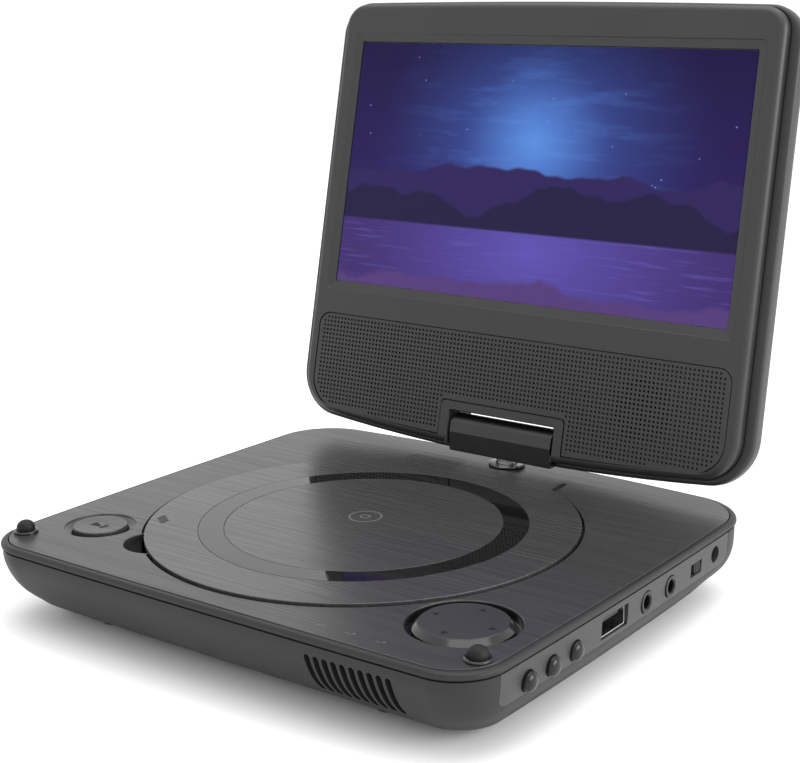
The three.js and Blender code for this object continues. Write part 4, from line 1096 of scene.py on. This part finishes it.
def perforated_grille():
    """The grille plate: a square grid of round holes, blind but for those before the speakers."""
    field = grille_loop(0)
    top, low, floor = 5.45, 4.65, 4.75
    inside = shrunk(field, 1.15)
    bottom, ceiling = min(p[1] for p in field), max(p[1] for p in field)
    columns = int(GRILLE["half"] * 2 / HOLE_PITCH)
    rows_count = int((ceiling - bottom) / HOLE_PITCH)
    left = -columns * HOLE_PITCH / 2
    base_y = ceiling - 0.75 - rows_count * HOLE_PITCH

    def holds(x, y):
        odd = False
        for i, (x1, y1) in enumerate(inside):
            x0, y0 = inside[i - 1]
            if (y0 > y) != (y1 > y) and x < x0 + (y - y0) * (x1 - x0) / (y1 - y0):
                odd = not odd
        return odd

    cells = set()
    for column in range(columns):
        for row in range(rows_count):
            x, y = left + (column + 0.5) * HOLE_PITCH, base_y + (row + 0.5) * HOLE_PITCH
            if holds(x, y):
                cells.add((column, row))
    grid, points, faces = {}, [], []

    def corner(column, row):
        """The shared points of the cells lie on half steps of the grid."""
        key = (column, row)
        if key not in grid:
            grid[key] = len(points)
            points.append((left + column * HOLE_PITCH / 2, base_y + row * HOLE_PITCH / 2, top))
        return grid[key]

    around = ((2, 1), (2, 2), (1, 2), (0, 2), (0, 1), (0, 0), (1, 0), (2, 0))
    chamfer = 0.07
    for column, row in sorted(cells):
        x, y = left + (column + 0.5) * HOLE_PITCH, base_y + (row + 0.5) * HOLE_PITCH
        away = min(math.hypot(x - side * SPEAKERS_X, y - SPEAKERS_Y) for side in (-1, 1))
        through = away < SPEAKERS_RADIUS - 2
        outer = [corner(2 * column + a, 2 * row + b) for a, b in around]
        start = len(points)
        end = low if through else floor
        for radius, z in (
            (HOLE_RADIUS + chamfer, top), (HOLE_RADIUS, top - chamfer), (HOLE_RADIUS, end),
        ):
            for i in range(8):
                a = math.tau * i / 8
                points.append((x + radius * math.cos(a), y + radius * math.sin(a), z))
        for i in range(8):
            j = (i + 1) % 8
            faces.append([outer[i], outer[j], start + j, start + i])
            faces.append([start + i, start + j, start + 8 + j, start + 8 + i])
            faces.append([start + 8 + i, start + 8 + j, start + 16 + j, start + 16 + i])
        if not through:
            faces.append([start + 16 + i for i in range(8)])
    used = {}
    sides = (
        (1, 0, (2, 0), (2, 2)), (0, 1, (2, 2), (0, 2)), (-1, 0, (0, 2), (0, 0)),
        (0, -1, (0, 0), (2, 0)),
    )
    for column, row in cells:
        for step_x, step_y, a, b in sides:
            if (column + step_x, row + step_y) not in cells:
                middle = ((a[0] + b[0]) // 2, (a[1] + b[1]) // 2)
                keys = [(2 * column + p[0], 2 * row + p[1]) for p in (a, middle, b)]
                used[keys[0]] = keys[1]
                used[keys[1]] = keys[2]
    loops = []
    while used:
        start = min(used)
        loop, here = [], start
        while here in used:
            loop.append(here)
            here = used.pop(here)
        loops.append([points[grid[key]][:2] for key in loop])
    rim = shrunk(field, 0.2)
    border = fill([rim] + [loop[::-1] for loop in loops], top, True)
    edge = walls([(top, rim), (top - 0.2, field), (low, field)])
    return merge((points, faces), border, edge)


def screen_back():
    rows = smooth_rows([
        (BACK, 6.5), (BACK + 0.5, 3.8), (BACK + 1.8, 1.7), (BACK + 3.6, 0.5), (BACK + 5.6, 0),
    ])
    rows += [(0.1, 0), (0.6, 0.12), (1.0, 0.4), (1.22, 0.75), (1.3, 1.15)]
    outside = loft([(z, outline(SHELL, i, i, i)) for z, i in rows])
    inner = (
        (BACK + 2, 5.5), (BACK + 3.2, 2.6), (BACK + 5, 1.2), (-0.9, 0.8), (-0.8, -0.25), (3, -0.25))
    hollow = loft([(z, outline(BEZEL, i, i, i)) for z, i in inner])
    cheek = brick(-CUTOUT_HALF - 1.6, CUTOUT_HALF + 1.6, -12, CUTOUT_TOP + 1.6, -7.9, -0.7)
    cheek = carved(cheek, ("INTERSECT", outside))
    opening = brick(-CUTOUT_HALF, CUTOUT_HALF, -12, CUTOUT_TOP, -12, 12)
    pins = along_x(rod(0, 0, 2.5, -24, 24, 32), 0, 0)
    shape = carved(
        outside, ("DIFFERENCE", hollow), ("UNION", cheek), ("DIFFERENCE", opening),
        ("DIFFERENCE", pins))
    for side in (-1, 1):
        x, y = side * SCREEN_SCREW[0], SCREEN_SCREW[1]
        shape = carved(
            shape, ("UNION", rod(x, y, 2.7, BACK + 1, 1, 32)),
            ("DIFFERENCE", rod(x, y, 1.3, BACK - 1, 2, 24)),
            ("DIFFERENCE", rod(x, y, 2.4, BACK - 1, BACK + 2.1, 32)))
    return shape


place("front_bezel", screen_bezel(), "shell", "screen", ["screen_bezel"], space=SCREEN)
place("grille_plate", perforated_grille(), "shell", "screen", ["speaker_grille"], space=SCREEN)
place("rear_cover", screen_back(), "shell", "screen", ["screen_back"], space=SCREEN, bevel=0.12)
place(
    "picture_panel", slab([rectangle(-0.3, 0.4)], 3.5, 4.2, 0.1), "display", "screen",
    ["display_glass"], space=SCREEN,
)
for label, side in (("left", -1), ("right", 1)):
    cone = turned([
        (0, -3.4), (7, -3.4), (7, 0.4), (11.6, 0.4), (11.6, 2.3), (10.4, 2.3), (9.6, 1.6),
        (4, 0.9), (0, 1.6),
    ], [0, 0.4, 0.2, 0.3, 0.3, 0.3, 0.6, 0.8, 0], (side * SPEAKERS_X, SPEAKERS_Y))
    place(f"speaker_cone_{label}", cone, "black", "screen", [f"speaker_{label}"], space=SCREEN)
    x, y = side * SCREEN_SCREW[0], SCREEN_SCREW[1]
    heights = (BACK + 0.4, BACK + 1.8, 3.1)
    screw = cross_screw(x, y, 2.1, 1, 0.4, heights, (1.4, 0.25, BACK, BACK + 1))
    place(f"back_screw_{label}", screw, "steel", "screen", [f"screen_screw_{label}"], space=SCREEN)

# ---------- CAD pieces that stay, with their materials ----------
KEPT = {
    "steel": [
        "loader_chassis", "spindle_motor", "guide_rod_1", "guide_rod_2", "lead_screw", "sled_motor",
        "lid_pin_left", "lid_pin_right", "swivel_bracket", "tilt_pin_left", "tilt_pin_right",
        "hinge_arm_left", "hinge_arm_right",
    ],
    "board": ["main_board", "screen_board"],
    "cell": ["battery_pack"],
    "black": ["nav_spider", "pickup_sled"],
    "module": ["lcd_panel"],
}
for look, names in KEPT.items():
    for cad_name in names:
        cad_mesh = frame["nodes"][cad_name].data
        cad_mesh.materials.clear()
        cad_mesh.materials.append(LOOKS[look])


# ---------- stage, in metres but for the camera's place, which is in the base's axes ----------
FLOOR_RADIUS = 30
WORLD_STRENGTH = 1.2
CAMERA_SENSOR, CAMERA_LENS = 36, 72.24  # fitted to the photo, like the place and the turn
CAMERA_SHIFT = (-0.0737, -0.1505)
CAMERA_PLACE = Vector((285.5, -363.6, 159.1))
CAMERA_TURN = (80.22, 0.293, 35.017)


def floor_material():
    n = Nodes("pale_floor")
    cloud = n.noise(n.place, 3, 2)
    colour = n.blend(cloud, (0.86, 0.86, 0.865, 1), (0.89, 0.89, 0.895, 1))
    return n.set(Base_Color=colour, Roughness=0.7, Specular_IOR_Level=0.2)


def build_stage():
    mesh = bpy.data.meshes.new("floor")
    points = [(FLOOR_RADIUS * x, FLOOR_RADIUS * y, 0) for x, y in circle(0, 0, 1, 64)]
    mesh.from_pydata(points, [], [list(range(64))])
    floor = bpy.data.objects.new("floor", mesh)
    bpy.context.scene.collection.objects.link(floor)
    mesh.materials.append(floor_material())
    world = bpy.data.worlds.new("studio")
    world.use_nodes = True
    background = world.node_tree.nodes["Background"]
    background.inputs["Color"].default_value = (1, 1, 1, 1)
    background.inputs["Strength"].default_value = WORLD_STRENGTH
    bpy.context.scene.world = world


def area_light(name, place_m, target_m, size, power):
    data = bpy.data.lights.new(name, "AREA")
    data.shape, data.size, data.size_y, data.energy = "RECTANGLE", size[0], size[1], power
    light = bpy.data.objects.new(name, data)
    light.location = place_m
    light.rotation_euler = (Vector(target_m) - Vector(place_m)).to_track_quat("-Z", "Y").to_euler()
    bpy.context.scene.collection.objects.link(light)


def build_camera():
    data = bpy.data.cameras.new("camera")
    data.sensor_width, data.lens = CAMERA_SENSOR, CAMERA_LENS
    data.shift_x, data.shift_y = CAMERA_SHIFT
    data.clip_end = 100
    camera = bpy.data.objects.new("camera", data)
    camera.location = BASE @ (CAMERA_PLACE * MM)
    camera.rotation_euler = [math.radians(angle) for angle in CAMERA_TURN]
    bpy.context.scene.collection.objects.link(camera)
    bpy.context.scene.camera = camera


build_stage()
build_camera()
bpy.context.scene.view_settings.view_transform = "Standard"
area_light("overhead", (0.1, 0.1, 1.6), (0, 0, 0.05), (1.7, 1.7), 19)
area_light("right_side", (1.3, 0.25, 0.5), (0, 0, 0.05), (1.1, 0.7), 14)
